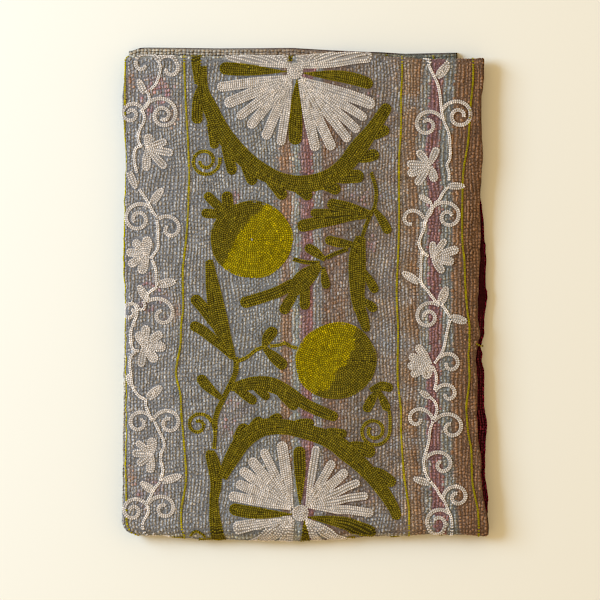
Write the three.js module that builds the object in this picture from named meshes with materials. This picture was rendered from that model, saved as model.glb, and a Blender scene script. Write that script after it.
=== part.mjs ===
// A kantha quilt, folded in half along its length and then in three across it, lying flat.
// Millimetres. +X runs across the folded quilt from its left fold to its open edge, +Y runs
// towards its far end, and +Z is up. The origin is on the floor, under the folded quilt's middle.
// Two cloths are quilted together: a striped face cloth outside and a plain back cloth inside.
// Each is one sheet, bent round the left fold into an upper and a lower leaf. The pair of leaves
// then runs back under itself: the under panel, the near fold, the top panel, the far fold and
// the tucked panel, whose end lies inside the near fold.
import * as THREE from "three";
import { mergeVertices } from "three/addons/utils/BufferGeometryUtils.js";

// Thickness of the cloths and the spaces between them
const FACE_CLOTH = 1.5;
const BACK_CLOTH = 1.2;
const BETWEEN_CLOTHS = 0.3;
const BETWEEN_BACKS = 1.2;
const PAIR_HALF = BETWEEN_BACKS / 2 + BACK_CLOTH + BETWEEN_CLOTHS + FACE_CLOTH;

// Heights of the middle of the pair of leaves on each panel
const PANEL_PITCH = 9.5;
const UNDER_Z = PAIR_HALF;
const TUCK_Z = UNDER_Z + PANEL_PITCH;
const TOP_Z = UNDER_Z + 2 * PANEL_PITCH;

// Where the straight panels end, along Y
const NEAR_Y = -303;
const FAR_Y = 300.5;
const HEM_Y = 320;
const TUCK_END_Y = -292;
const FAR_RADIUS = PANEL_PITCH / 2;

// Usual places of the left fold and of the open edge, along X
const LEFT_X = -234;
const OPEN_X = 226;
const UNDER_HEM_OPEN_X = 198;
const TUCK_END_OPEN_X = 190;
const UNDER_HEM_LEFT_X = -230;
const TUCK_END_LEFT_X = -229;
const NEAR_CORNER = 15;
const FAR_CORNER = 5;
const CORNER_SHARE = 12;

// How the top panel's left fold wanders outwards
const LEFT_FOLD = [
  { along: -295, out: 4.5 },
  { along: -242, out: 0.7 },
  { along: -178, out: -2 },
  { along: -2, out: -0.5 },
  { along: 46, out: 2 },
  { along: 102, out: 0.5 },
  { along: 173, out: -2 },
  { along: 245, out: 4 },
  { along: 303, out: 0.5 },
];

// How the upper leaf's open edge wanders, and how far the lower leaf's edge stands past it
const OPEN_EDGE = [
  { along: -317, out: 12.6, lead: -1 },
  { along: -290, out: 8.6, lead: 2 },
  { along: -242, out: 3.5, lead: 6.5 },
  { along: -203, out: 2.2, lead: 7.2 },
  { along: -171, out: -1, lead: 12.3 },
  { along: -100, out: -3, lead: 10.4 },
  { along: -67, out: -3.6, lead: 7.8 },
  { along: -8, out: -1.7, lead: 12.3 },
  { along: 43, out: 0.2, lead: 8.5 },
  { along: 89, out: 0.9, lead: 5.5 },
  { along: 134, out: 2.8, lead: 0.3 },
  { along: 180, out: 4.1, lead: 2 },
  { along: 225, out: 2.8, lead: -1 },
  { along: 303, out: 6, lead: -1 },
];

// How the far and near folds and the under panel's hem wander outwards
const FAR_FOLD = [
  { across: -215, out: 0.5 },
  { across: -137, out: 0 },
  { across: -20, out: 0 },
  { across: 58, out: 4.5 },
  { across: 123, out: -1.3 },
  { across: 162, out: -3.9 },
  { across: 232, out: -3 },
];
const NEAR_FOLD = [
  { across: -215, out: -1 },
  { across: -20, out: 1.3 },
  { across: 58, out: 0.6 },
  { across: 123, out: 2.6 },
  { across: 162, out: 0.2 },
  { across: 238, out: 2.6 },
];
const UNDER_HEM = [
  { across: -231, out: -4.5 },
  { across: -214, out: 0 },
  { across: -98, out: -1.2 },
  { across: -20, out: -0.6 },
  { across: 19, out: -3.2 },
  { across: 86, out: -5.6 },
  { across: 142, out: -8.2 },
  { across: 197, out: -6.5 },
];

// The near fold's profile, from the under panel up to the top one, and its low belly
const NEAR_PROFILE = [
  { out: 0, up: 0, belly: 0 },
  { out: 5.4, up: 1.5, belly: 0.4 },
  { out: 8.6, up: 5, belly: 1 },
  { out: 9, up: 9, belly: 0.85 },
  { out: 8.4, up: 13, belly: 0.3 },
  { out: 5.3, up: 17.4, belly: 0 },
  { out: 0, up: 19, belly: 0 },
];
const NEAR_BELLY = [
  { across: -200, out: 0 },
  { across: -137, out: 4.2 },
  { across: -30, out: 5 },
  { across: 45, out: 4.2 },
  { across: 110, out: 0.5 },
  { across: 238, out: 0 },
];

// Low waves of the top panel, its crown, and how far its open edge sinks
const WAVES = [
  { height: 0.7, acrossLength: 310, alongLength: 420, turn: 0.6 },
  { height: 0.5, acrossLength: -260, alongLength: 240, turn: 2.1 },
  { height: 0.35, acrossLength: 900, alongLength: 150, turn: 4.4 },
];
const CROWN = 1.4;
const EDGE_SINK = { depth: 3, from: 186, over: 40 };
const FREE_SINK = { depth: 8, over: 24, clear: 1 };

// How much farther than the other leaf the under panel's lower leaf reaches at its hem
const HEM_LEAD = 1.6;

// The hem's turned-in roll: distance from the edge, and how much thicker the leaf is there
const HEM_ROLL = [
  { from: 0, thicker: -0.5 },
  { from: 2.5, thicker: 0.4 },
  { from: 6, thicker: 0.35 },
  { from: 13, thicker: 0 },
];
const EDGE_COLUMNS = [0, 2.5, 6, 13, 24, 38];
const INNER_COLUMNS = 7;
const FOLD_STEPS = 6;

// Rings of the sweep on each stretch of the path
const UNDER_RINGS = [0, 2.5, 6, 13, 60, 160, 270, 380, 490, 580];
const FOLD_RINGS = 6;
const TOP_RINGS = 20;
const TUCK_RINGS = 7;

const clamp01 = (t) => Math.min(1, Math.max(0, t));
const ease = (t) => clamp01(t) ** 2 * (3 - 2 * clamp01(t));
const mix = (a, b, t) => a + (b - a) * t;

// A table's column at a place, eased from one row to the next.
function fromTable(rows, place, at, column) {
  if (at <= rows[0][place]) return rows[0][column];
  for (let i = 1; i < rows.length; i++) {
    const [low, high] = [rows[i - 1], rows[i]];
    if (at > high[place]) continue;
    const share = ease((at - low[place]) / (high[place] - low[place]));
    return mix(low[column], high[column], share);
  }
  return rows[rows.length - 1][column];
}

// A smooth curve through a table's rows at a share of its whole length.
function alongRows(rows, share, column) {
  const place = clamp01(share) * (rows.length - 1);
  const i = Math.min(rows.length - 2, Math.floor(place));
  const t = place - i;
  const at = (k) => rows[Math.min(rows.length - 1, Math.max(0, k))][column];
  const [a, b, c, d] = [at(i - 1), at(i), at(i + 1), at(i + 2)];
  return b + 0.5 * t * (c - a + t * (2 * a - 5 * b + 4 * c - d + t * (3 * (b - c) + d - a)));
}

// The path of the pair of leaves, as seen from the open edge: stretch 0 is the under panel,
// 1 the near fold, 2 the top panel, 3 the far fold and 4 the tucked panel.
function pathAt(s, x) {
  const stretch = Math.min(4, Math.floor(s));
  const t = s - stretch;
  if (stretch === 0) return { y: mix(HEM_Y, NEAR_Y, t), z: UNDER_Z };
  if (stretch === 1) {
    const belly = fromTable(NEAR_BELLY, "across", x, "out");
    const out = alongRows(NEAR_PROFILE, t, "out") + belly * alongRows(NEAR_PROFILE, t, "belly");
    return { y: NEAR_Y - out, z: UNDER_Z + alongRows(NEAR_PROFILE, t, "up") };
  }
  if (stretch === 2) return { y: mix(NEAR_Y, FAR_Y, t), z: TOP_Z };
  if (stretch === 3) {
    const turned = Math.PI * t;
    const down = FAR_RADIUS * (1 - Math.cos(turned));
    return { y: FAR_Y + FAR_RADIUS * Math.sin(turned), z: TOP_Z - down };
  }
  return { y: mix(FAR_Y, TUCK_END_Y, t), z: TUCK_Z };
}

// How far across the under and tucked panels reach, and the wider of the two at a place
const underOpenX = (t) => mix(UNDER_HEM_OPEN_X, OPEN_X + OPEN_EDGE[0].out, t ** 2);
const tuckOpenX = (t) => mix(TUCK_END_OPEN_X, OPEN_X + OPEN_EDGE.at(-1).out, (1 - t) ** 2);
function lowerReach(y) {
  const under = underOpenX(clamp01((HEM_Y - y) / (HEM_Y - NEAR_Y)));
  const tuck = tuckOpenX(clamp01((FAR_Y - y) / (FAR_Y - TUCK_END_Y)));
  return Math.max(under, tuck);
}

// The open edges of the two leaves at a station.
function openEdges(s) {
  const last = OPEN_EDGE.length - 1;
  if (s < 1) return { upper: underOpenX(s), lower: underOpenX(s) - 1 };
  if (s > 4) return { upper: tuckOpenX(s - 4), lower: tuckOpenX(s - 4) - 1 };
  const row = s < 2 ? OPEN_EDGE[0] : OPEN_EDGE[last];
  if (s < 2 || s > 3) return { upper: OPEN_X + row.out, lower: OPEN_X + row.out + row.lead };
  const { y } = pathAt(s, 0);
  const upper = OPEN_X + fromTable(OPEN_EDGE, "along", y, "out");
  return { upper, lower: upper + fromTable(OPEN_EDGE, "along", y, "lead") };
}

// How far a round corner draws the left fold in, at a distance short of its outermost point.
function cornerPull(radius, shortOf) {
  const past = radius - shortOf;
  if (past <= 0) return 0;
  return radius - Math.sqrt(Math.max(0, radius ** 2 - past ** 2));
}

// The left fold at a station, before its corners are drawn in.
function leftFold(s) {
  const { y } = pathAt(Math.min(4, Math.max(1, s)), 0);
  const wander = LEFT_X - fromTable(LEFT_FOLD, "along", y, "out");
  if (s < 1) return mix(UNDER_HEM_LEFT_X, wander, ease(s));
  if (s > 4) return mix(wander, TUCK_END_LEFT_X, ease(s - 4));
  return wander;
}

// The corners' share of the pull falls away from the left fold.
function cornerShift(s, x) {
  const { y } = pathAt(s, 0);
  const nearest = NEAR_Y - Math.max(...NEAR_PROFILE.map((row) => row.out));
  const farthest = FAR_Y + FAR_RADIUS;
  const pull = cornerPull(NEAR_CORNER, y - nearest) + cornerPull(FAR_CORNER, farthest - y);
  return s < 1 && y > 0 ? 0 : pull * Math.exp((LEFT_X - x) / (CORNER_SHARE * 3));
}

// The height that the top panel's waves and crown add, and what its open edge loses.
function unevenness(x, y) {
  let height = CROWN * (1 - (x / LEFT_X) ** 2) * (1 - (y / HEM_Y) ** 2);
  for (const wave of WAVES) {
    const phase = x / wave.acrossLength + y / wave.alongLength;
    height += wave.height * Math.sin(2 * Math.PI * phase + wave.turn);
  }
  return height - EDGE_SINK.depth * ease((x - EDGE_SINK.from) / EDGE_SINK.over);
}

// The middle of the pair of leaves at a place across and a station along.
function middle(x, s) {
  const path = pathAt(s, x);
  const share = (path.y - NEAR_Y) / (FAR_Y - NEAR_Y);
  const far = s < 1 ? UNDER_HEM : FAR_FOLD;
  const y =
    path.y +
    share * fromTable(far, "across", x, "out") -
    (1 - share) * fromTable(NEAR_FOLD, "across", x, "out");
  const level = (path.z - UNDER_Z) / (TOP_Z - UNDER_Z);
  const free = FREE_SINK.depth * ease((x - lowerReach(path.y) - FREE_SINK.clear) / FREE_SINK.over);
  const z = path.z + level * unevenness(x, y) - free * ease((level - 0.55) / 0.4);
  return new THREE.Vector3(x + cornerShift(s, x), y, z);
}

// The direction from the middle towards the leaf that is outermost in the folds.
function outwards(x, s) {
  const [stepX, stepS] = [0.5, 0.004];
  const across = middle(x + stepX, s).sub(middle(x - stepX, s));
  const [before, after] = [Math.max(0, s - stepS), Math.min(5, s + stepS)];
  const along = middle(x, after).sub(middle(x, before));
  return across.cross(along).normalize();
}

// Places across one leaf, from its open edge to the left fold's centre line.
function columns(s, leaf) {
  const { upper, lower } = openEdges(s);
  const centre = leftFold(s) + PAIR_HALF;
  const innermost = upper - EDGE_COLUMNS.at(-1);
  const inner = Array.from({ length: INNER_COLUMNS }, (_, i) =>
    mix(innermost, centre, (i + 1) / INNER_COLUMNS),
  );
  const edge = EDGE_COLUMNS.map((from) => upper - from);
  if (leaf === "lower") edge[0] = lower;
  return [...edge, ...inner];
}

// One ring of a cloth: out along the upper leaf, round the left fold and back along the lower
// leaf on its outer side, then the same way back on its inner side.
function ring(s, outer, inner) {
  const points = [];
  const trim = outer < PAIR_HALF ? BETWEEN_CLOTHS : 0;
  const upper = columns(s, "upper");
  const lower = columns(s, "lower");
  const centre = upper.at(-1);
  const place = (x, off) => {
    const mid = middle(x, s);
    if (s === 0 && off > 0) mid.y += HEM_LEAD * clamp01((x - centre) / 20);
    return mid.add(outwards(x, s).multiplyScalar(off));
  };
  // The side that lies on the floor has no roll, so it stays flat.
  const offFloor = ease((pathAt(s, 0).z - UNDER_Z) / PANEL_PITCH);
  const roll = (i, sign) => {
    if (outer < PAIR_HALF) return 0;
    const fromEdge = EDGE_COLUMNS[Math.min(i, EDGE_COLUMNS.length - 1)];
    const fromHem = s * (HEM_Y - NEAR_Y);
    const thicker = [fromEdge, fromHem].map((from) => fromTable(HEM_ROLL, "from", from, "thicker"));
    return (thicker[0] + thicker[1]) * (sign > 0 ? offFloor : 1);
  };
  const leafSide = (xs, off, sign, rolled) =>
    xs.map((x, i) => place(i === 0 ? x - trim : x, sign * (off + (rolled ? roll(i, sign) : 0))));
  const bend = (radius, steps) =>
    steps.map((k) => {
      const turned = (Math.PI * k) / FOLD_STEPS;
      const mid = middle(centre, s);
      const out = outwards(centre, s).multiplyScalar(radius * Math.cos(turned));
      return mid.add(out).add(new THREE.Vector3(-radius * Math.sin(turned), 0, 0));
    });
  const steps = Array.from({ length: FOLD_STEPS - 1 }, (_, k) => k + 1);
  points.push(...leafSide(upper, outer, 1, true));
  points.push(...bend(outer, steps));
  points.push(...leafSide(lower, outer, -1, true).reverse());
  points.push(...leafSide(lower, inner, -1, false));
  points.push(...bend(inner, [...steps].reverse()));
  points.push(...leafSide(upper, inner, 1, false).reverse());
  return points;
}

// Stations along the whole path.
function stations() {
  const under = UNDER_RINGS.map((from) => from / (HEM_Y - NEAR_Y));
  const evenly = (start, count) => Array.from({ length: count }, (_, i) => start + i / count);
  return [
    ...under,
    ...evenly(1, FOLD_RINGS + 2),
    ...evenly(2, TOP_RINGS),
    ...evenly(3, FOLD_RINGS),
    ...evenly(4, TUCK_RINGS),
    5,
  ];
}

// A cloth swept along the path as one closed solid.
function cloth(outer, inner) {
  const rings = stations().map((s) => ring(s, outer, inner));
  const size = rings[0].length;
  const positions = rings.flat().flatMap((p) => [p.x, p.y, p.z]);
  const index = [];
  const quad = (a, b, c, d) => index.push(a, b, c, a, c, d);
  // Every layer is split along the same diagonals, so the layers keep their distance.
  const upperSide = EDGE_COLUMNS.length + INNER_COLUMNS + FOLD_STEPS - 1;
  const turned = (k) => (k < size / 2 ? k >= upperSide : size - 2 - k < upperSide);
  for (let r = 0; r + 1 < rings.length; r++) {
    for (let k = 0; k < size; k++) {
      const next = (k + 1) % size;
      const corners = [r * size + k, (r + 1) * size + k, (r + 1) * size + next, r * size + next];
      quad(...(turned(k) ? [...corners.slice(1), corners[0]] : corners));
    }
  }
  // Each end is a strip between the cloth's outer and inner sides.
  const last = (rings.length - 1) * size;
  for (let k = 0; k + 1 < size / 2; k++) {
    const facing = size - 1 - k;
    quad(k, k + 1, facing - 1, facing);
    quad(last + k, last + facing, last + facing - 1, last + k + 1);
  }
  const geometry = new THREE.BufferGeometry();
  geometry.setAttribute("position", new THREE.Float32BufferAttribute(positions, 3));
  geometry.setIndex(index);
  return mergeVertices(geometry, 1e-4);
}

// A named mesh in its own material.
function piece(name, geometry, colour) {
  const material = new THREE.MeshStandardMaterial({ color: colour, roughness: 0.9, metalness: 0 });
  const mesh = new THREE.Mesh(geometry, material);
  mesh.name = name;
  return mesh;
}

const quilt = new THREE.Group();
const backOuter = PAIR_HALF - FACE_CLOTH - BETWEEN_CLOTHS;
quilt.add(piece("face_cloth", cloth(PAIR_HALF, PAIR_HALF - FACE_CLOTH), 0x85817c));
quilt.add(piece("back_cloth", cloth(backOuter, BETWEEN_BACKS / 2), 0x4b1420));

export default quilt;
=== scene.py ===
"""The looks of a kantha quilt that lies folded in half and then in three.

The two cloths repeat the folds of the part's source, in millimetres. Every stitch is laid on
them in the quilt's own flat coordinates: across, from the left fold to the open edge, and
along, where nought is the top panel's middle and the ends run on round the folds.
"""

from __future__ import annotations

import logging
import math
import random
import sys
from collections.abc import Callable
from dataclasses import dataclass, field
from enum import Enum

import bmesh
import bpy
import numpy as np
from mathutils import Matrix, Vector

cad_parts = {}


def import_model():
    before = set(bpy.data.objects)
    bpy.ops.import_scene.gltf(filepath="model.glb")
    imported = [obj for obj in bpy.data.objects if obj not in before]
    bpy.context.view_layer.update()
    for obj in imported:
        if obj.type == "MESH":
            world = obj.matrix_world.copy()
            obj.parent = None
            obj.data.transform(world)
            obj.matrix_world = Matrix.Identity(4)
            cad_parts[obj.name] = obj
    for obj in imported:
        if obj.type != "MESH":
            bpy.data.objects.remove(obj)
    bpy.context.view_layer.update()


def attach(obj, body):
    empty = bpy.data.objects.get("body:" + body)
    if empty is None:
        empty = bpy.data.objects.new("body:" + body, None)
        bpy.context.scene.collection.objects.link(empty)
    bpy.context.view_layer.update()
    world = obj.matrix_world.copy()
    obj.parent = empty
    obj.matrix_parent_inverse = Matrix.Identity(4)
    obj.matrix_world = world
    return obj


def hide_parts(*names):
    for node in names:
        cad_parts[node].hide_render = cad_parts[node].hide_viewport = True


LOG = logging.getLogger("kantha_quilt")
MM = 0.001
Rows = tuple[tuple[float, float], ...]
Spots = tuple[tuple[float, float, float, float, float], ...]
Path = tuple[tuple[float, float], ...]


def linear(code: str) -> tuple[float, float, float, float]:
    """Turn an sRGB hex colour into a linear one.

    Args:
        code: The colour, such as "#4b1420".

    Returns:
        Red, green, blue and full alpha.
    """
    parts = [int(code[i : i + 2], 16) / 255 for i in (1, 3, 5)]
    red, green, blue = (c / 12.92 if c <= 0.04045 else ((c + 0.055) / 1.055) ** 2.4 for c in parts)
    return red, green, blue, 1.0


def eased(rows: Rows, at: np.ndarray) -> np.ndarray:
    """Read a table of places and values, eased from one row to the next.

    Args:
        rows: Places in rising order, each with its value.
        at: Where to read.

    Returns:
        The values there.
    """
    table = np.array(rows, dtype=float)
    place, value = table[:, 0], table[:, 1]
    low = np.clip(np.searchsorted(place, at, side="left") - 1, 0, len(place) - 2)
    share = ease((at - place[low]) / (place[low + 1] - place[low]))
    return value[low] + (value[low + 1] - value[low]) * share


def ease(share: np.ndarray) -> np.ndarray:
    """Ease a share from 0 to 1."""
    share = np.clip(share, 0, 1)
    return share * share * (3 - 2 * share)


def smooth_curve(points: np.ndarray, share: np.ndarray) -> np.ndarray:
    """Run a smooth curve through points.

    Args:
        points: The points, one a row.
        share: Shares of the way along them, from 0 to 1.

    Returns:
        The curve's points.
    """
    last = len(points) - 1
    place = np.clip(share, 0, 1) * last
    i = np.minimum(last - 1, np.floor(place)).astype(int)
    t = (place - i)[:, None]
    a, b, c, d = (points[np.clip(i + k, 0, last)] for k in (-1, 0, 1, 2))
    return b + 0.5 * t * (c - a + t * (2 * a - 5 * b + 4 * c - d + t * (3 * (b - c) + d - a)))


def unit(vectors: np.ndarray) -> np.ndarray:
    """Give vectors a length of one."""
    return vectors / np.maximum(np.linalg.norm(vectors, axis=1, keepdims=True), 1e-9)


def distances(line: np.ndarray) -> np.ndarray:
    """Give the distances along a line of points."""
    return np.concatenate([[0], np.cumsum(np.linalg.norm(np.diff(line, axis=0), axis=1))])


def places_at(line: np.ndarray, gone: np.ndarray, at: np.ndarray) -> np.ndarray:
    """Read the places along a flat line.

    Args:
        line: The line's points.
        gone: Their distances along it.
        at: The distances to read at.

    Returns:
        The places, one a row.
    """
    return np.stack([np.interp(at, gone, line[:, k]) for k in (0, 1)], axis=1)


def sideways(heading: np.ndarray) -> np.ndarray:
    """Turn flat headings a quarter to the left."""
    return np.stack([-heading[:, 1], heading[:, 0]], axis=1)


def drift(seed: int, count: int, shortest: float, longest: float) -> np.ndarray:
    """Draw the waves of a smooth random field.

    Args:
        seed: The field's fixed seed.
        count: How many waves it sums.
        shortest: The shortest wave, in millimetres.
        longest: The longest wave, in millimetres.

    Returns:
        One row a wave: its two wave numbers and its phase.
    """
    rng = np.random.default_rng(seed)
    length = np.exp(rng.uniform(math.log(shortest), math.log(longest), count))
    turn = rng.uniform(0, 2 * math.pi, count)
    waves = [2 * math.pi * np.cos(turn) / length, 2 * math.pi * np.sin(turn) / length]
    return np.stack([*waves, rng.uniform(0, 2 * math.pi, count)], axis=1)


def field_at(waves: np.ndarray, flat: np.ndarray) -> np.ndarray:
    """Read a smooth random field, which stays within about one either way."""
    phase = flat[:, :2] @ waves[:, :2].T + waves[:, 2]
    return np.sin(phase).sum(axis=1) / math.sqrt(len(waves))


@dataclass(frozen=True)
class FoldedStack:
    """The way the quilt lies folded, repeated from the part's source, in millimetres."""

    face: float = 1.5
    back: float = 1.2
    between_cloths: float = 0.3
    between_backs: float = 1.2
    panel_pitch: float = 9.5
    near: float = -303.0
    far: float = 300.5
    hem: float = 320.0
    tuck_end: float = -292.0
    left: float = -234.0
    open_edge: float = 226.0
    near_length: float = 30.0
    far_corner: float = 5.0
    near_corner: float = 15.0
    left_fold: Rows = (
        (-295, 4.5), (-242, 0.7), (-178, -2), (-2, -0.5), (46, 2), (102, 0.5), (173, -2), (245, 4),
        (303, 0.5),
    )
    edge_out: Rows = (
        (-317, 13.2), (-304, 11), (-288, 10), (-275, 7.3), (-262, 4.8), (-249, 3.5), (-236, 2.2),
        (-223, 2.8), (-210, 2.2), (-200, 0.2), (-190, -1.5), (-167, -2.4), (-158, -3.7), (-151, -3),
        (-112, -3), (-99, -4.3), (-86, -5.7), (-73, -4.3), (-63, -3), (-54, -0.1), (-41, -1.8),
        (-28, -3), (-8, -3), (5, -1.8), (18, -1.8), (31, -1.1), (46, 0.8), (57, 0.2), (70, 1.5),
        (89, 0.8), (102, 0.2), (115, -0.4), (128, 0.2), (154, 1.5), (180, 3.5), (190, 3.5),
        (206, 2.2), (245, 2.2), (258, 2.8), (271, 4.8), (284, 6.1), (313, 6.8),
    )
    edge_lead: Rows = (
        (-317, -1), (-296, -0.8), (-289, 0.7), (-281, 2.8), (-274, 4.4), (-265, 6.9), (-255, 6.7),
        (-240, 5.8), (-229, 5.5), (-211, 5.9), (-201, 8.7), (-188, 11.1), (-180, 12.4), (-172, 13.5),
        (-159, 13.2), (-153, 11.4), (-145, 10.3), (-116, 10.3), (-99, 11.6), (-92, 10.2), (-85, 9.5),
        (-79, 10.1), (-68, 6.5), (-63, 7.4), (-57, 6.9), (-47, 8.4), (-34, 9.8), (-27, 11),
        (-11, 13), (-5, 14.1), (2, 12.8), (10, 10.8), (31, 10.1), (50, 8.8), (63, 8.3), (72, 5.6),
        (96, 6), (115, 4.8), (128, 2), (144, 1.3), (154, -0.9), (163, 0), (170, 1.3), (177, 1.8),
        (184, 0.7), (190, -1.1), (313, -1),
    )
    far_fold: Rows = ((-215, 0.5), (-137, 0), (-20, 0), (58, 4.5), (123, -1.3), (162, -3.9), (232, -3))
    near_fold: Rows = ((-215, -1), (-20, 1.3), (40, 0.2), (58, -1.6), (123, -0.7), (162, -2.6), (238, -0.6))
    under_hem: Rows = (
        (-231, -4.5), (-214, 0), (-98, -1.2), (-20, -0.6), (19, -3.2), (86, -5.6), (142, -8.2),
        (197, -6.5),
    )
    near_profile: tuple[tuple[float, float, float], ...] = (
        (0, 0, 0), (5.4, 1.5, 0.4), (8.6, 5, 1), (9, 9, 0.85), (8.4, 13, 0.3), (5.3, 17.4, 0),
        (0, 19, 0),
    )
    near_belly: Rows = ((-200, 0), (-137, 4.2), (-30, 5), (45, 4.2), (110, 0.5), (238, 0))
    waves: tuple[tuple[float, float, float, float], ...] = (
        (0.7, 310, 420, 0.6), (0.5, -260, 240, 2.1), (0.35, 900, 150, 4.4),
    )
    hem_roll: Rows = ((0, -0.5), (2.5, 0.4), (6, 0.35), (13, 0))
    hem_lead: float = 0.9
    under_reach: float = 198.0
    tuck_reach: float = 190.0
    corner_fade: float = 36.0
    turn_near: float = 14.0
    turn_far: float = 12.5
    swell: float = 1.4
    free_sag: float = 8.0
    edge_sag: float = 3.0
    sags_from: float = 186.0

    @property
    def half(self) -> float:
        """Half the thickness of the pair of leaves."""
        return self.between_backs / 2 + self.back + self.between_cloths + self.face

    @property
    def stops(self) -> tuple[float, ...]:
        """Flat places along the quilt where its stretches meet, from the hem to the tucked end."""
        low = self.near - self.near_length
        tucked = self.far + math.pi * self.panel_pitch / 2
        return (
            low - (self.hem - self.near), low, self.near, self.far, tucked,
            tucked + self.far - self.tuck_end,
        )

    def station(self, along: np.ndarray) -> np.ndarray:
        """Turn flat places along the quilt into stations of the fold's path."""
        return np.interp(along, self.stops, range(len(self.stops)))

    def path(self, s: np.ndarray, x: np.ndarray) -> tuple[np.ndarray, np.ndarray]:
        """Follow the path of the pair of leaves.

        Args:
            s: Stations: 0 to 1 is the under panel, then the near fold, the top panel, the far
                fold and the tucked panel.
            x: Places across.

        Returns:
            The path's places along Y and Z.
        """
        stretch = np.clip(np.floor(s), 0, 4).astype(int)
        t = s - stretch
        profile = smooth_curve(np.array(self.near_profile, dtype=float), t)
        out = profile[:, 0] + eased(self.near_belly, x) * profile[:, 2]
        radius = self.panel_pitch / 2
        top = self.half + 2 * self.panel_pitch
        stretches = [stretch == k for k in range(5)]
        y = np.select(stretches, [
            self.hem + (self.near - self.hem) * t,
            self.near - out,
            self.near + (self.far - self.near) * t,
            self.far + radius * np.sin(np.pi * t),
            self.far + (self.tuck_end - self.far) * t,
        ])
        z = np.select(stretches, [
            np.full_like(t, self.half),
            self.half + profile[:, 1],
            np.full_like(t, top),
            top - radius * (1 - np.cos(np.pi * t)),
            np.full_like(t, top - self.panel_pitch),
        ])
        return y, z

    def under_open(self, t: np.ndarray) -> np.ndarray:
        """How far the under panel reaches at a share of its length."""
        return self.under_reach + (self.open_edge + self.edge_out[0][1] - self.under_reach) * t**2

    def tuck_open(self, t: np.ndarray) -> np.ndarray:
        """How far the tucked panel reaches at a share of its length."""
        reach = self.open_edge + self.edge_out[-1][1] - self.tuck_reach
        return self.tuck_reach + reach * (1 - t) ** 2

    def edges(self, s: np.ndarray) -> tuple[np.ndarray, np.ndarray]:
        """Give the open edges of the two leaves.

        Args:
            s: Stations.

        Returns:
            Places across of the upper leaf's edge, and of the lower leaf's.
        """
        y, _ = self.path(s, np.zeros_like(s))
        round_near = self.near - self.turn_near * (2 - np.clip(s, 1, 2))
        round_far = self.far + self.turn_far * (np.clip(s, 3, 4) - 3)
        y = np.where(s < 2, round_near, np.where(s > 3, round_far, y))
        upper = self.open_edge + eased(self.edge_out, y)
        lower = upper + eased(self.edge_lead, y)
        upper = np.where(s < 1, self.under_open(np.clip(s, 0, 1)), upper)
        upper = np.where(s > 4, self.tuck_open(np.clip(s - 4, 0, 1)), upper)
        return upper, np.where((s < 1) | (s > 4), upper - 1, lower)

    def centre(self, s: np.ndarray) -> np.ndarray:
        """Give the centre line of the left fold.

        Args:
            s: Stations.

        Returns:
            Its places across.
        """
        y, _ = self.path(np.clip(s, 1, 4), np.zeros_like(s))
        wander = self.left - eased(self.left_fold, y)
        hem, end = self.left + 4, self.left + 5
        wander = np.where(s < 1, hem + (wander - hem) * ease(s), wander)
        wander = np.where(s > 4, wander + (end - wander) * ease(s - 4), wander)
        return wander + self.half

    def corner_shift(self, s: np.ndarray, x: np.ndarray) -> np.ndarray:
        """Draw the left fold in at its rounded corners.

        Args:
            s: Stations.
            x: Places across.

        Returns:
            How far each place moves to the right.
        """
        y, _ = self.path(s, np.zeros_like(s))
        pull = np.zeros_like(y)
        nearest = self.near - max(row[0] for row in self.near_profile)
        farthest = self.far + self.panel_pitch / 2
        for radius, short in ((self.near_corner, y - nearest), (self.far_corner, farthest - y)):
            past = np.clip(radius - short, 0, radius)
            pull += radius - np.sqrt(radius**2 - past**2)
        pull = np.where((s < 1) & (y > 0), 0, pull)
        return pull * np.exp((self.left - x) / self.corner_fade)

    def middle(self, x: np.ndarray, s: np.ndarray) -> np.ndarray:
        """Give the middle of the pair of leaves.

        Args:
            x: Places across.
            s: Stations.

        Returns:
            The places in space.
        """
        y, z = self.path(s, x)
        share = (y - self.near) / (self.far - self.near)
        far = np.where(s < 1, eased(self.under_hem, x), eased(self.far_fold, x))
        moved = y + share * far - (1 - share) * eased(self.near_fold, x)
        level = (z - self.half) / (2 * self.panel_pitch)
        under = self.under_open(np.clip((self.hem - y) / (self.hem - self.near), 0, 1))
        tuck = self.tuck_open(np.clip((self.far - y) / (self.far - self.tuck_end), 0, 1))
        free = self.free_sag * ease((x - np.maximum(under, tuck) - 1) / 24)
        uneven = self.swell * (1 - (x / self.left) ** 2) * (1 - (moved / self.hem) ** 2)
        for height, across, along, turn in self.waves:
            uneven += height * np.sin(2 * np.pi * (x / across + moved / along) + turn)
        uneven -= self.edge_sag * ease((x - self.sags_from) / 40)
        z = z + level * uneven - free * ease((level - 0.55) / 0.4)
        return np.stack([x + self.corner_shift(s, x), moved, z], axis=1)

    def other_leaf(self, across: np.ndarray, centre: np.ndarray) -> np.ndarray:
        """Give the flat place that lies under another one, round the left fold."""
        return 2 * centre - np.pi * self.half - across

    def outwards(self, x: np.ndarray, s: np.ndarray) -> np.ndarray:
        """Give the direction towards the leaf that is outermost in the folds.

        Args:
            x: Places across.
            s: Stations.

        Returns:
            Unit vectors.
        """
        across = self.middle(x + 0.5, s) - self.middle(x - 0.5, s)
        before, after = np.clip(s - 0.004, 0, 5), np.clip(s + 0.004, 0, 5)
        return unit(np.cross(across, self.middle(x, after) - self.middle(x, before)))

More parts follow.
